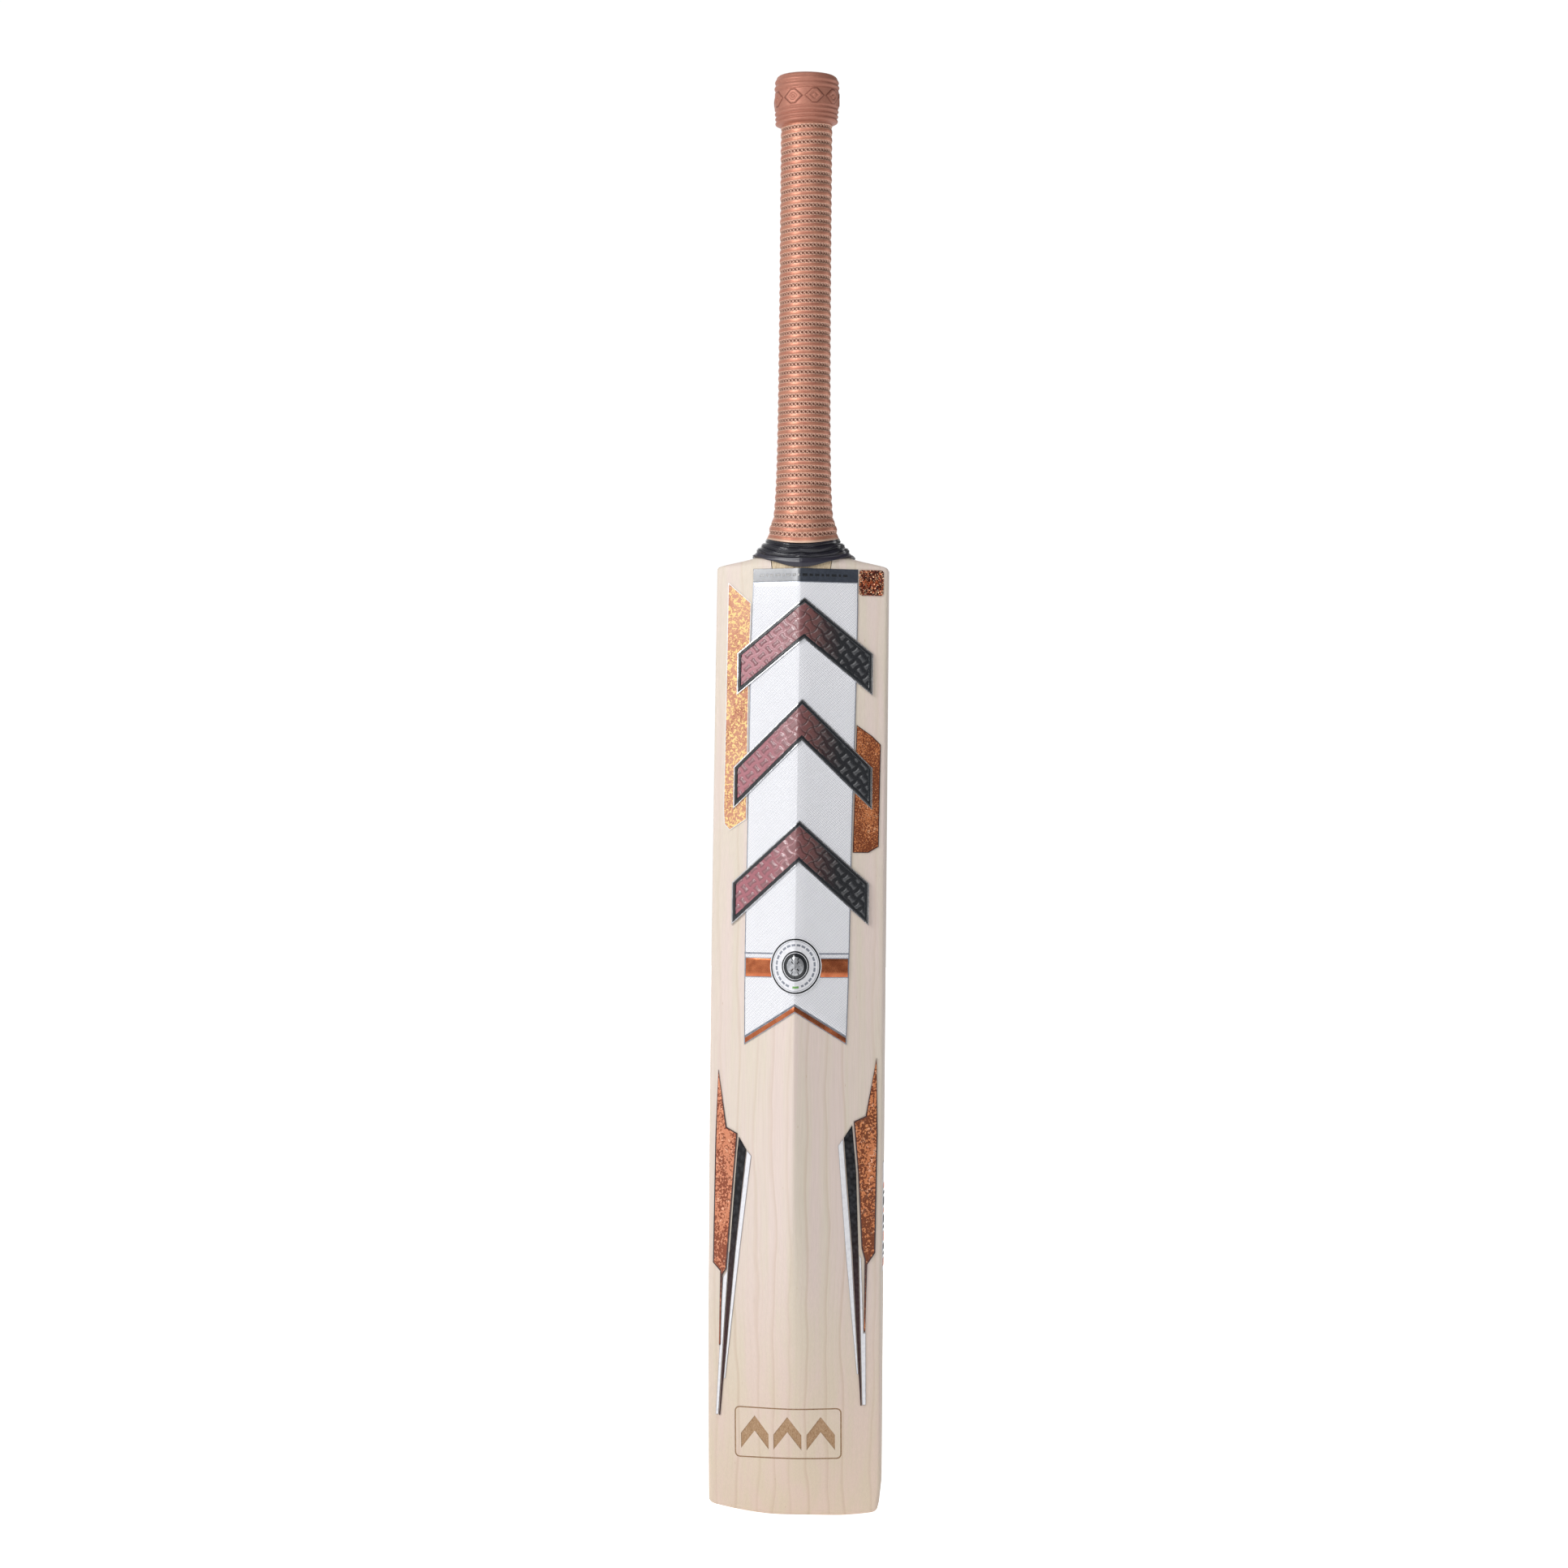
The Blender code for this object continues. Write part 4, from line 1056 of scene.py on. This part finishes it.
def build_binding():
    """Three rolls of wound string under tight film, and a smooth skirt that runs down over the blade's spine."""
    angles = turns_round(WRAP_COLUMNS)
    columns = np.arange(WRAP_COLUMNS)
    step = 0.5
    levels = np.arange(WRAP_LOW, WRAP_HIGH, WRAP_SAMPLE)
    radii = np.array([wood_radii(angles, z) for z in levels])

    def radius_at(z):
        place = np.clip((z - WRAP_LOW) / WRAP_SAMPLE, 0, len(levels) - 1.001)
        low = place.astype(int)
        part = place - low
        return radii[low, columns] * (1 - part) + radii[low + 1, columns] * part

    top = dipped(BINDING_TOP, BINDING_TOP_DIP, angles)
    bottom = dipped(BINDING_BOTTOM, BINDING_BOTTOM_DIP, angles)
    rings, strands, skirts = [], [], []

    def add(down, offset, strand=0.0, skirt=0.0):
        """A ring that is offset from the wood at right angles to its surface, down from the top edge."""
        z = np.maximum(top - down, bottom)
        radius = radius_at(z)
        slope = np.clip((radius_at(z + step) - radius_at(z - step)) / (2 * step), -1.5, 0.2)
        scale = offset / np.hypot(1.0, slope)
        rings.append(circle(radius + scale, angles, z - slope * scale))
        strands.append(strand)
        skirts.append(skirt)

    add(0.0, WRAP_LINING)
    add(0.0, 0.8)
    add(0.05, 1.1)
    rolls = ROLL_START + ROLL_HEIGHT * ROLL_COUNT
    for down in np.linspace(ROLL_START, rolls, ROLL_RINGS):
        bulge = abs(math.sin(math.pi * (down - ROLL_START) / ROLL_HEIGHT)) ** ROLL_ROUNDNESS
        cord = CORD_DEPTH * math.sin(2 * math.pi * down / CORD_PITCH)
        add(down, WRAP_THIN + (WRAP_THICK - WRAP_THIN) * bulge + cord, strand=2 * down / CORD_PITCH)
    reach = float((top - bottom).max())
    for share in np.linspace(0.04, 1.0, SKIRT_RINGS):
        swell = SKIRT_SWELL * math.sin(math.pi * share) ** 2
        offset = WRAP_THIN + swell - SKIRT_TAPER * share**4
        add(rolls + (reach - rolls) * share, offset, strand=2 * rolls / CORD_PITCH, skirt=1.0)
    add(reach, 0.8)
    for share in (1.0, 0.7, 0.4, 0.15):
        add(reach * share, WRAP_LINING)
    piece = from_rings("neck_wrap", rings, BINDING)
    give(piece.data, "strand", np.repeat(strands, WRAP_COLUMNS))
    give(piece.data, "skirt", np.repeat(skirts, WRAP_COLUMNS))
    show(piece, "neck_binding")


RIB_PITCH = 4.745
RIB_START = 583.2
RIB_COUNT = 52
RIB_DEPTH = 0.93
GROOVE_SHARE = 0.65
HATCH_TURNS = 39
HATCH_DEPTH = 0.45
HATCH_HALF = 0.27
HATCH_STROKE = 0.24
GRIP_FADE = 25
CUFF_PROFILE = (
    (829.9, 15.2), (830.3, 16.0), (830.9, 17.9), (831.5, 18.7), (832.2, 18.75), (832.9, 18.2), (833.4, 17.9),
    (833.9, 18.4), (834.7, 18.95), (835.4, 18.6), (836.1, 18.0), (836.7, 18.6), (837.7, 19.15), (838.7, 18.7),
    (839.2, 18.5), (839.8, 19.05), (840.4, 19.25), (850.0, 19.2), (850.5, 18.75), (851.0, 18.7), (851.6, 19.2),
    (852.5, 19.5), (853.5, 19.1), (854.2, 18.6), (854.9, 18.9), (855.9, 19.2), (857.0, 18.75), (857.7, 18.35),
    (858.5, 18.1), (859.3, 17.3), (859.8, 16.4), (TOTAL_LENGTH, 15.2),
)
CUFF_STEP = 0.3
MOTIF_MIDDLE, MOTIF_HALF = 845.2, 4.2
MOTIF_RELIEF = 0.45
MOTIF_COUNT = 9
GRIP_LIP = ((0.15, 21.2), (0.0, 21.7), (0.1, 22.1), (0.6, 22.0))
GRIP_INSIDE = (
    (TOTAL_LENGTH - 0.25, 14.4), (TOTAL_LENGTH - 1.2, 13.95), (850, 13.9), (700, 14.2), (640, 14.6), (603, 15.7),
    (595, 16.5), (588.2, 18.6), (584.2, 20.0),
)
SKEW = 0.9


def skewed(rings):
    """The sleeve was rolled on a little askew: its rings rise to the right towards the top."""
    rings = np.asarray(rings, float)
    z = rings[..., 2]
    share = smoothstep(620.0, 800.0, z) * (1 - smoothstep(846.0, 859.0, z))
    rings[..., 2] = z + SKEW * share * rings[..., 0] / np.hypot(rings[..., 0], rings[..., 1])
    return rings


def lozenges(angles, level):
    """The cuff's raised lozenges at one level: their relief, and the painted shade on the line round them."""
    turn = (angles * MOTIF_COUNT / (2 * math.pi) + 0.3) % 1.0 * 2 - 1
    up = abs(level - MOTIF_MIDDLE) / MOTIF_HALF
    shape = np.maximum(np.abs(turn) / 0.86 + 0.75 * up, up)
    raised = np.clip((1.0 - shape) / 0.12, 0, 1) - np.clip((0.56 - shape) / 0.12, 0, 1)
    dot = np.clip((0.26 - shape) / 0.10, 0, 1)
    return MOTIF_RELIEF * (raised + dot), 0.75 * np.exp(-(((shape - 1.02) / 0.09) ** 2))


def build_grip():
    """A sleeve of ribs, cross-hatched in the grooves between them, with a thicker cuff at the top."""
    angles = turns_round(HATCH_TURNS * 8)
    even = np.ones(len(angles))
    across = np.abs((angles * HATCH_TURNS / (2 * math.pi)) % 1.0 - 0.5) * 2
    rings, holes, crests = [], [], []

    def add(level, radius, hole=0.0, crest=0.0):
        fade = max(0.0, 1 - (level - GRIP_BOTTOM) / GRIP_FADE)
        rings.append(circle(radius * even, angles, dipped(level, GRIP_BOTTOM_DIP * fade, angles)))
        holes.append(hole * even)
        crests.append(crest * even)

    for rise, radius in GRIP_LIP:
        add(GRIP_BOTTOM + rise, radius)
    add(RIB_START - 0.4, 21.2)
    within = [-0.5, -0.43, -0.36, -0.30, *np.linspace(-HATCH_HALF, HATCH_HALF, 9), 0.30, 0.36, 0.43]
    for rib in range(RIB_COUNT):
        for place in within:
            level = RIB_START + (rib + 0.5 + place) * RIB_PITCH
            base = float(grip_radius_at(level))
            wave = -RIB_DEPTH * (1 - abs(math.sin(math.pi * place)) ** 0.8)
            up = abs(place) / HATCH_HALF
            if up <= 1 + 1e-6:
                stroke = np.exp(-((np.abs(across - up) / HATCH_STROKE) ** 2))
                # Where hole is 1 the sleeve is carved deeper, and the material paints shade there.
                hole = (1 - stroke) * (up <= 0.99)
                add(level, base + GROOVE_SHARE * wave - HATCH_DEPTH * hole, hole, 1.0)
            else:
                add(level, base + wave)
    levels = []
    for (low, _), (high, _) in zip(CUFF_PROFILE, CUFF_PROFILE[1:]):
        steps = max(2, int((high - low) / CUFF_STEP))
        levels += [low + (high - low) * k / steps for k in range(steps)]
    for level in levels + [TOTAL_LENGTH]:
        relief_here, line = lozenges(angles, level)
        # line goes in as hole, so the material paints shade round each lozenge.
        add(level, along(CUFF_PROFILE, level) + relief_here, line)
    for level, radius in GRIP_INSIDE:
        add(level, radius)
    piece = from_rings("grip_rubber", skewed(rings), GRIP)
    lips = np.zeros((len(rings), len(angles)))
    lips[1:4] = 1.0
    for name, values in (("hole", holes), ("crest", crests), ("lip", lips)):
        give(piece.data, name, values)
    show(piece, "grip_sleeve")


# --- Stickers ---


def rim(*inner_steps, base=LIFT, thickness=FILM, edge=0):
    """The steps of a thin film's edge, from the wood up to its top, then any further steps inwards."""
    steps = [(0.0, 0.02, edge), (0.0, base + thickness - 0.08, edge), (0.08, base + thickness, edge)]
    return steps + list(inner_steps)


def band_edge(stations, z):
    return along(tuple(reversed(stations)), z)


def tail_line(x):
    """The height of the band's swallowtail end."""
    centre = BADGE_CENTRE[0]
    reach = band_edge(BAND_RIGHT, TAIL_TIP) - centre
    return TAIL_APEX - (TAIL_APEX - TAIL_TIP) * abs(x - centre) / reach


TAIL_GAP = 0.25
DASH_WIDTHS = (2.6, 1.4, 2.0, 3.0, 1.4, 2.6, 2.0, 1.4, 3.0, 2.0, 2.6, 1.4, 2.0, 3.0, 1.4, 2.6)
DASH_START, DASH_GAP = 4.0, 1.2
DASH_LOW, DASH_HIGH = 3.0, 4.6
BAND_LINE = (-30.7, 31.4, 334.0, 334.9)
PRINT = 0.1


def build_band():
    (left_top, left_x), (right_top, right_x) = [(side[0][1], side[-1][1]) for side in (BAND_LEFT, BAND_RIGHT)]
    top = BAND_TOP - BAR_HEIGHT - 0.1
    outline = [(left_top, top), *((band_edge(BAND_LEFT, z), z) for z in range(540, 290, -25))]
    for x, z in ((left_x, tail_line(left_x)), (BADGE_CENTRE[0], TAIL_APEX), (right_x, tail_line(right_x))):
        outline.append((x, z + TAIL_STRIPE + TAIL_GAP))
    outline += [*((band_edge(BAND_RIGHT, z), z) for z in range(290, 541, 25)), (right_top, top)]
    steps = rim((0.55, FILM_TOP, 1), (0.62, FILM_TOP + 0.02, 0), edge=1)
    decal("white_band", "spine_band", outline, [WHITE, GREY_LINE], steps)
    tail = [(left_x, tail_line(left_x)), (BADGE_CENTRE[0], TAIL_APEX), (right_x, tail_line(right_x))]
    tail += [(x, z + TAIL_STRIPE) for x, z in reversed(tail)]
    steps = rim((0.50, FILM_TOP, 0), (0.55, FILM_TOP + 0.04, 1))
    decal("tail_stripe", "swallowtail_stripe", tail, [GREY_LINE, FOIL], steps, fill=1)
    low = BAND_TOP - BAR_HEIGHT
    decal("slate_bar", "top_bar", box(left_top, right_top, low, BAND_TOP), [SLATE], rim())
    mark = left_top + DASH_START
    for k, width in enumerate(DASH_WIDTHS):
        dash = box(mark, mark + width, low + DASH_LOW, low + DASH_HIGH)
        decal(f"bar_dash_{k + 1}", None, dash, [BLACK], rim(base=0.6, thickness=PRINT))
        mark += width + DASH_GAP
    decal("band_line", None, box(*BAND_LINE), [GREY_LINE], rim(base=0.7, thickness=PRINT))


CELL_PITCH = 5.6
CELL_TURN = 40
CELL_WAIST = 0.32
CELL_GAP, CELL_GAP_GROWTH = 0.04, 0.34


def bone_cells(x, z):
    """(inside, rim) of a field of waisted cells that turn by a quarter from one to the next.
    They meet near the ridge, and the channels between them widen towards both sides."""
    turned = math.radians(CELL_TURN)
    p = (x * math.cos(turned) + z * math.sin(turned)) / CELL_PITCH
    q = (z * math.cos(turned) - x * math.sin(turned)) / CELL_PITCH
    i, j = np.floor(p), np.floor(q)
    u, v = (p - i) * 2 - 1, (q - j) * 2 - 1
    odd = (i + j) % 2 == 1
    u, v = np.where(odd, v, u), np.where(odd, u, v)
    gap = CELL_GAP + CELL_GAP_GROWTH * smoothstep(5.0, 20.0, np.abs(x - 3.0))
    side = 1 - np.abs(u) - CELL_WAIST * (1 - v * v)
    depth = np.abs(side) - gap
    ends = 1.04 - np.abs(v) - 0.75 * (gap - CELL_GAP)
    depth = np.where(side > 0, np.minimum(depth, ends), depth)
    return smoothstep(-0.03, 0.10, depth), np.exp(-((depth / 0.085) ** 2))


EMBLEM_CROWN = OVER_BAND + 1.3
CELL_SINK, CELL_RISE, CELL_LINE = 0.42, 0.34, 0.12


def cell_height(x, z):
    inside, edge = bone_cells(x, z)
    return EMBLEM_CROWN - CELL_SINK + CELL_RISE * inside - CELL_LINE * edge


def build_emblems():
    """A chrome foot, a rounded black frame and a field of pressed cells for each."""
    steps = [(0.0, 0.65, 0), (0.0, 1.55, 0), (0.12, 1.72, 0), (0.65, 1.72, 0), (0.72, 1.55, 1), (0.80, 1.62, 1)]
    for distance, rise in ((0.95, 0.0), (1.15, 0.18), (2.15, 0.18), (2.45, -0.10), (2.75, -0.55), (3.2, -0.7)):
        steps.append((distance, EMBLEM_CROWN + rise, 1))
    numbers = {"cell": lambda x, z: bone_cells(x, z)[0], "rim": lambda x, z: bone_cells(x, z)[1]}
    for name, sides in EMBLEM_BOXES.items():
        outline = chevron(*sides, EMBLEM_ARM)
        decal(f"{name}_frame", None, outline, [CHROME, BLACK], steps, fill=1, grid=4.0)
        fill = relief(f"{name}_fill", outline, 0.42, 2.35, cell_height, [RESIN], numbers)
        show(fill, name)


PANELS = {
    "left": [
        (-44.2, 555.2), (-44.5, 482), (-45.0, 419), (-44.4, 410.6), (-41.0, 406.8), (-30.6, 413.5), (-30.6, 470),
        (-30.4, 505), (-29.7, 542.5),
    ],
    "right": [(34.0, 470), (43.2, 463.5), (48.2, 458.5), (47.6, 397.8), (41.6, 394.2), (32.6, 394.2)],
}


def build_panels():
    steps = rim((0.45, FILM_TOP, 0), (0.50, FILM_TOP + 0.05, 1), (0.62, FILM_TOP + 0.06, 1))
    finishes = {"left": [FILM_EDGE, PANEL_LEFT], "right": [FOIL_DARK_RIM, PANEL_RIGHT]}
    for side, outline in PANELS.items():
        decal(f"flake_{side}", f"flake_panel_{side}", outline, finishes[side], steps, fill=1)


BADGE_COLUMNS = 96
BADGE_MATERIALS = {"white": 0, "black": 1, "grey": 2, "silver": 3, "leaf": 4}
BADGE_STEPS = (
    (1.0, 0.72, "white"), (0.995, 1.35, "white"), (0.985, 1.40, "white"), (0.962, 1.40, "black"),
    (0.905, 1.40, "white"), (0.872, 1.40, "grey"), (0.857, 1.40, "white"), (0.80, 1.40, "white"),
    (0.775, 1.41, "ticks"), (0.70, 1.41, "white"), (0.63, 1.40, "white"), (0.53, 1.40, "black"),
    (0.52, 1.52, "black"), (0.475, 1.52, "white"), (0.455, 1.52, "black"), (0.34, 1.52, "black"),
    (0.33, 1.62, "ball"), (0.22, 1.80, "ball"), (0.11, 1.92, "ball"), (0.02, 1.95, "ball"),
)
SEAM_PLACE, SEAM_HALF = 0.14, 0.022


def badge_finish(kind, share, k):
    """What a face of the badge is made of, from its ring's kind and share and its place k round the ring."""
    if kind == "ticks":
        half = BADGE_COLUMNS // 2
        from_bottom = abs((k - half // 2) % BADGE_COLUMNS - half)
        if from_bottom <= 2:
            return "leaf"
        return "white" if k % 4 == 3 or from_bottom <= 4 else "grey"
    if kind == "ball":
        across = abs(math.cos(2 * math.pi * (k + 0.5) / BADGE_COLUMNS) * share)
        return "black" if abs(across - SEAM_PLACE) < SEAM_HALF else "silver"
    return kind


def build_badges():
    cx, cz = BADGE_CENTRE
    wide, high = BADGE_SIZE
    bm = bmesh.new()
    rings = []
    for share, height, _ in BADGE_STEPS:
        turns = [2 * math.pi * k / BADGE_COLUMNS for k in range(BADGE_COLUMNS)]
        ring = [(cx + wide * share * math.cos(turn), height, cz + high * share * math.sin(turn)) for turn in turns]
        rings.append([bm.verts.new(point) for point in ring])
    for (share, _, kind), outer, inner in zip(BADGE_STEPS, rings, rings[1:]):
        first = len(bm.faces)
        bridge(bm, outer, inner)
        bm.faces.ensure_lookup_table()
        for k in range(BADGE_COLUMNS):
            bm.faces[first + k].material_index = BADGE_MATERIALS[badge_finish(kind, share, k)]
    bm.faces.new(rings[0])
    bm.faces.new(rings[-1]).material_index = BADGE_MATERIALS["silver"]
    cut_grid(bm, 50.0)
    split_long_faces(bm)
    drape(bm)
    badge = from_bmesh("seam_ball_badge", bm, [BAR_WHITE, BLACK, GREY_LINE, SILVER, LEAF], 30)
    show(badge, "round_badge")
    steps = [(0.0, 0.6, 0), (0.0, 0.98, 0), (0.06, 1.02, 0), (0.40, 1.02, 0), (0.45, 1.05, 1)]
    for name, way, stations in (("left", -1, BAND_LEFT), ("right", 1, BAND_RIGHT)):
        outline = box(cx + way * wide * 0.93, stations[-2][1] - way * 0.4, STRIPE_BOTTOM, STRIPE_TOP)
        decal(f"foil_stripe_{name}", f"stripe_{name}", outline, [GREY_LINE, FOIL], steps, fill=1)


SQUARE_BADGE = (34.4, 48.8, 547.5, 562.8)
SQUARE_CORNER = 1.6
SQUARE_MARK = {"bottom": 552.6, "top": 557.8, "arm": 2.1}
SQUARE_MARK_LEFT, SQUARE_MARK_WIDTH, SQUARE_MARK_PITCH = 37.0, 2.8, 3.2


def build_square_badge():
    steps = [(0.0, 0.02, 0), (0.0, 0.55, 0), (0.12, 0.75, 0), (0.4, 0.88, 0), (0.8, 0.84, 0), (1.1, 0.72, 0)]
    outline = rounded_box(*SQUARE_BADGE, SQUARE_CORNER)
    decal("glitter_square", "square_badge", outline, [GLITTER], steps, grid=3.0)
    steps = [(0.0, 0.5, 0), (0.0, 0.80, 0), (0.25, 1.0, 0)]
    for k in range(3):
        left = SQUARE_MARK_LEFT + SQUARE_MARK_PITCH * k
        mark = chevron(left, left + SQUARE_MARK_WIDTH, **SQUARE_MARK)
        decal(f"glitter_mark_{k + 1}", None, mark, [FOIL], steps, grid=3.0)


BOLTS = {
    "bolt_copper_left": [
        (-46, 265), (-40.6, 231.5), (-33.9, 228), (-40.1, 147.5), (-42.4, 144), (-43.2, 127),
        (-43.8, 102), (-44.5, 102), (-44.2, 127), (-43.9, 146), (-48.4, 151), (-47.4, 226),
    ],
    "bolt_black_left": [
        (-33, 226), (-28.4, 218.6), (-34.8, 159.8), (-43.9, 60), (-44.5, 60), (-38.1, 159.7),
        (-33.9, 217.3),
    ],
    "bolt_white_inner_left": [
        (-25.4, 215.1), (-32, 160), (-40.7, 82.3), (-41.5, 82.3), (-34.4, 159.8), (-27.9, 218),
    ],
    "bolt_white_outer_left": [
        (-38.6, 157.5), (-45, 60.4), (-46.5, 60.4), (-44.1, 101), (-43.45, 103), (-42.85, 127),
        (-42, 142.6), (-39.8, 146.2), (-39, 157.5),
    ],
    "bolt_copper_right": [
        (47.7, 273), (48.7, 228.2), (47.8, 158), (43.2, 151.2), (42.2, 111.2), (41.5, 111.2),
        (41.6, 154.1), (39.8, 160.9), (37.4, 206.2), (34.8, 235.8), (41.6, 238.9),
    ],
    "bolt_black_right": [
        (33.9, 233.6), (36.4, 206.2), (38, 160.9), (40.2, 67.2), (39.6, 67.2), (34.4, 161),
        (29.2, 226.4),
    ],
    "bolt_white_inner_right": [
        (26, 221.7), (28.6, 225.6), (33.8, 161), (38.2, 86.2), (37.4, 86.2), (30.6, 161),
    ],
    "bolt_white_outer_right": [
        (38.6, 157.2), (39.6, 155.2), (41.1, 110.6), (42.4, 110.6), (42.6, 67.6), (40.6, 67.6),
    ],
}


def build_bolts():
    for node, outline in BOLTS.items():
        name = node.replace("bolt_", "bar_")
        if "copper" in node:
            fill = BOLT_LEFT if "left" in node else BOLT_RIGHT
            steps = rim((0.72, FILM_TOP, 0), (0.76, FILM_TOP + 0.05, 1))
            decal(name, node, outline, [FOIL_DARK_RIM, fill], steps, fill=1)
        elif "black" in node:
            steps = rim((0.2, FILM_TOP, 0), (0.24, FILM_TOP + 0.08, 0))
            decal(name, node, outline, [SATIN_BLACK], steps)
        else:
            steps = rim((0.14, LIFT + 0.25, 0), (0.17, LIFT + 0.28, 1), thickness=0.25)
            decal(name, node, outline, [GREY_LINE, BAR_WHITE], steps, fill=1)


EDGE_FILM_ROWS = 8
EDGE_FILM_HALF = 7
EDGE_BARS = (5.5, 2.0, 4.0, 7.0, 2.0, 5.5, 3.0, 6.0, 2.0, 4.0)
EDGE_BAR_START, EDGE_BAR_SHARE, EDGE_BAR_GAP = 3.0, 0.78, 1.9


def build_edge_sticker():
    """A narrow film on the right edge with a row of plain bars."""
    low, high = EDGE_STICKER
    bm = bmesh.new()

    def patch(z_low, z_high, half, inside, outside, kind):
        """A block on the edge, from inside to outside millimetres above the wood."""
        ends = []
        for z in (z_low, z_high):
            middle = float(face_at(z) - edge_depth_at(z) / 2)
            ends.append([])
            for y, out in ((-half, inside), (-half, outside), (half, outside), (half, inside)):
                ends[-1].append(bm.verts.new(world(BLADE_HALF_WIDTH + out, middle + y, z)))
        for end in ends:
            bm.faces.new(end).material_index = kind
        bridge(bm, *ends, kind)

    row = (high - low) / EDGE_FILM_ROWS
    for k in range(EDGE_FILM_ROWS):
        patch(low + row * k, low + row * (k + 1), EDGE_FILM_HALF, 0.02, 0.4, 0)
    bar = low + EDGE_BAR_START
    for k, width in enumerate(EDGE_BARS):
        reach = width * EDGE_BAR_SHARE
        patch(bar, bar + reach, 4.6 if k % 2 else 5.4, 0.3, 0.66, 1 if k % 3 else 2)
        bar += reach + EDGE_BAR_GAP
    show(from_bmesh("edge_film", bm, [BAR_WHITE, SATIN_BLACK, FOIL], 30), "edge_sticker")


build_blade()
build_binding()
build_grip()
build_band()
build_emblems()
build_panels()
build_badges()
build_square_badge()
build_bolts()
build_edge_sticker()

for node_name, node in frame["nodes"].items():
    for prefix, finish in (("cane_row", CANE), ("rubber_strip", SPRING_RUBBER), ("handle_twine", TWINE)):
        if node_name.startswith(prefix):
            node.data.materials.clear()
            node.data.materials.append(finish)


# --- Studio ---

SCENE = bpy.context.scene
WORLD_DARK, WORLD_BRIGHT = 0.16, 0.62
WORLD_DARK_FROM, WORLD_BRIGHT_FROM = 0.75, -0.85
WORLD_SEEN = 1.02
FLOOR_GLOW = 0.34
FLOOR_HALF = 12.0
CAMERA_TURN = 3.6
CAMERA_DISTANCE = 2.364
CAMERA_HEIGHT = 0.39
CAMERA_AIM = (-0.01018, 0.4350)
CAMERA_LENS = 90.70
CAMERA_ROLL = 0.495
SOFTBOXES = (
    # name, azimuth, elevation, distance, width, height, power, height of the point that it is aimed at
    ("key_left", -43, 25, 2.2, 0.75, 0.62, 22, 0.45),
    ("front_fill", 10, 42, 2.2, 1.0, 1.0, 8, 0.40),
    ("rear_right", 118, 10, 2.2, 0.5, 1.4, 5, 0.45),
    ("rear", 190, 25, 2.4, 1.8, 1.8, 9, 0.4),
)
SCENE.view_settings.view_transform = "Standard"


def build_floor():
    bm = bmesh.new()
    bm.faces.new([bm.verts.new((x, y, 0.0)) for x, y in box(-FLOOR_HALF, FLOOR_HALF, -FLOOR_HALF, FLOOR_HALF)])
    s = Shader("studio_floor", roughness=0.9, Specular_IOR_Level=0.1)
    s.set(Base_Color=(0.92, 0.92, 0.92), Emission_Color=(1.0, 1.0, 1.0))
    seen = s.new("LightPath").outputs["Is Camera Ray"]
    s.set(Emission_Strength=s.times(seen, 1.0 - FLOOR_GLOW, FLOOR_GLOW))
    from_bmesh("studio_floor", bm, [s.made])


def build_world():
    """White where the camera sees it. As a light it is bright on the left and nearly dark on the right."""
    SCENE.world = bpy.data.worlds.new("studio")
    SCENE.world.use_nodes = True
    n = Nodes(SCENE.world.node_tree)
    back = n.tree.nodes["Background"]
    back.inputs["Color"].default_value = (1, 1, 1, 1)
    seen = n.new("LightPath").outputs["Is Camera Ray"]
    across = n.made_from(n.new("SeparateXYZ"), n.new("TexCoord").outputs["Generated"])
    light = n.band(across, WORLD_DARK_FROM, WORLD_BRIGHT_FROM, WORLD_DARK, WORLD_BRIGHT)
    n.join(n.times(seen, WORLD_SEEN, n.times(light, n.minus(1.0, seen))), back.inputs["Strength"])


def place(name, data, location, turn):
    made = bpy.data.objects.new(name, data)
    made.location = location
    made.rotation_mode = "QUATERNION"
    made.rotation_quaternion = turn
    SCENE.collection.objects.link(made)
    return made


def softbox(name, azimuth, elevation, distance, width, height, power, aim):
    """A rectangular light. Azimuth 0 is in front of the bat's back, and positive is to the right."""
    a, e = math.radians(azimuth), math.radians(elevation)
    out = Vector((math.sin(a) * math.cos(e), -math.cos(a) * math.cos(e), math.sin(e)))
    lamp = bpy.data.lights.new(name, "AREA")
    lamp.shape = "RECTANGLE"
    lamp.size, lamp.size_y = width, height
    lamp.energy = power
    place(name, lamp, Vector((0, 0, aim)) + out * distance, (-out).to_track_quat("-Z", "Y"))


def build_camera():
    turn = math.radians(CAMERA_TURN)
    data = bpy.data.cameras.new("camera")
    data.sensor_width = 36.0
    data.lens = CAMERA_LENS
    axis_y = DEPTH_SHIFT * METRE
    away = Vector((math.sin(turn), -math.cos(turn), 0.0)) * CAMERA_DISTANCE
    location = Vector((0.0, axis_y, CAMERA_HEIGHT)) + away
    look = (Vector((CAMERA_AIM[0], axis_y, CAMERA_AIM[1])) - location).to_track_quat("-Z", "Y")
    SCENE.camera = place("camera", data, location, look @ Quaternion((0, 0, 1), math.radians(CAMERA_ROLL)))


build_floor()
build_world()
for values in SOFTBOXES:
    softbox(*values)
build_camera()
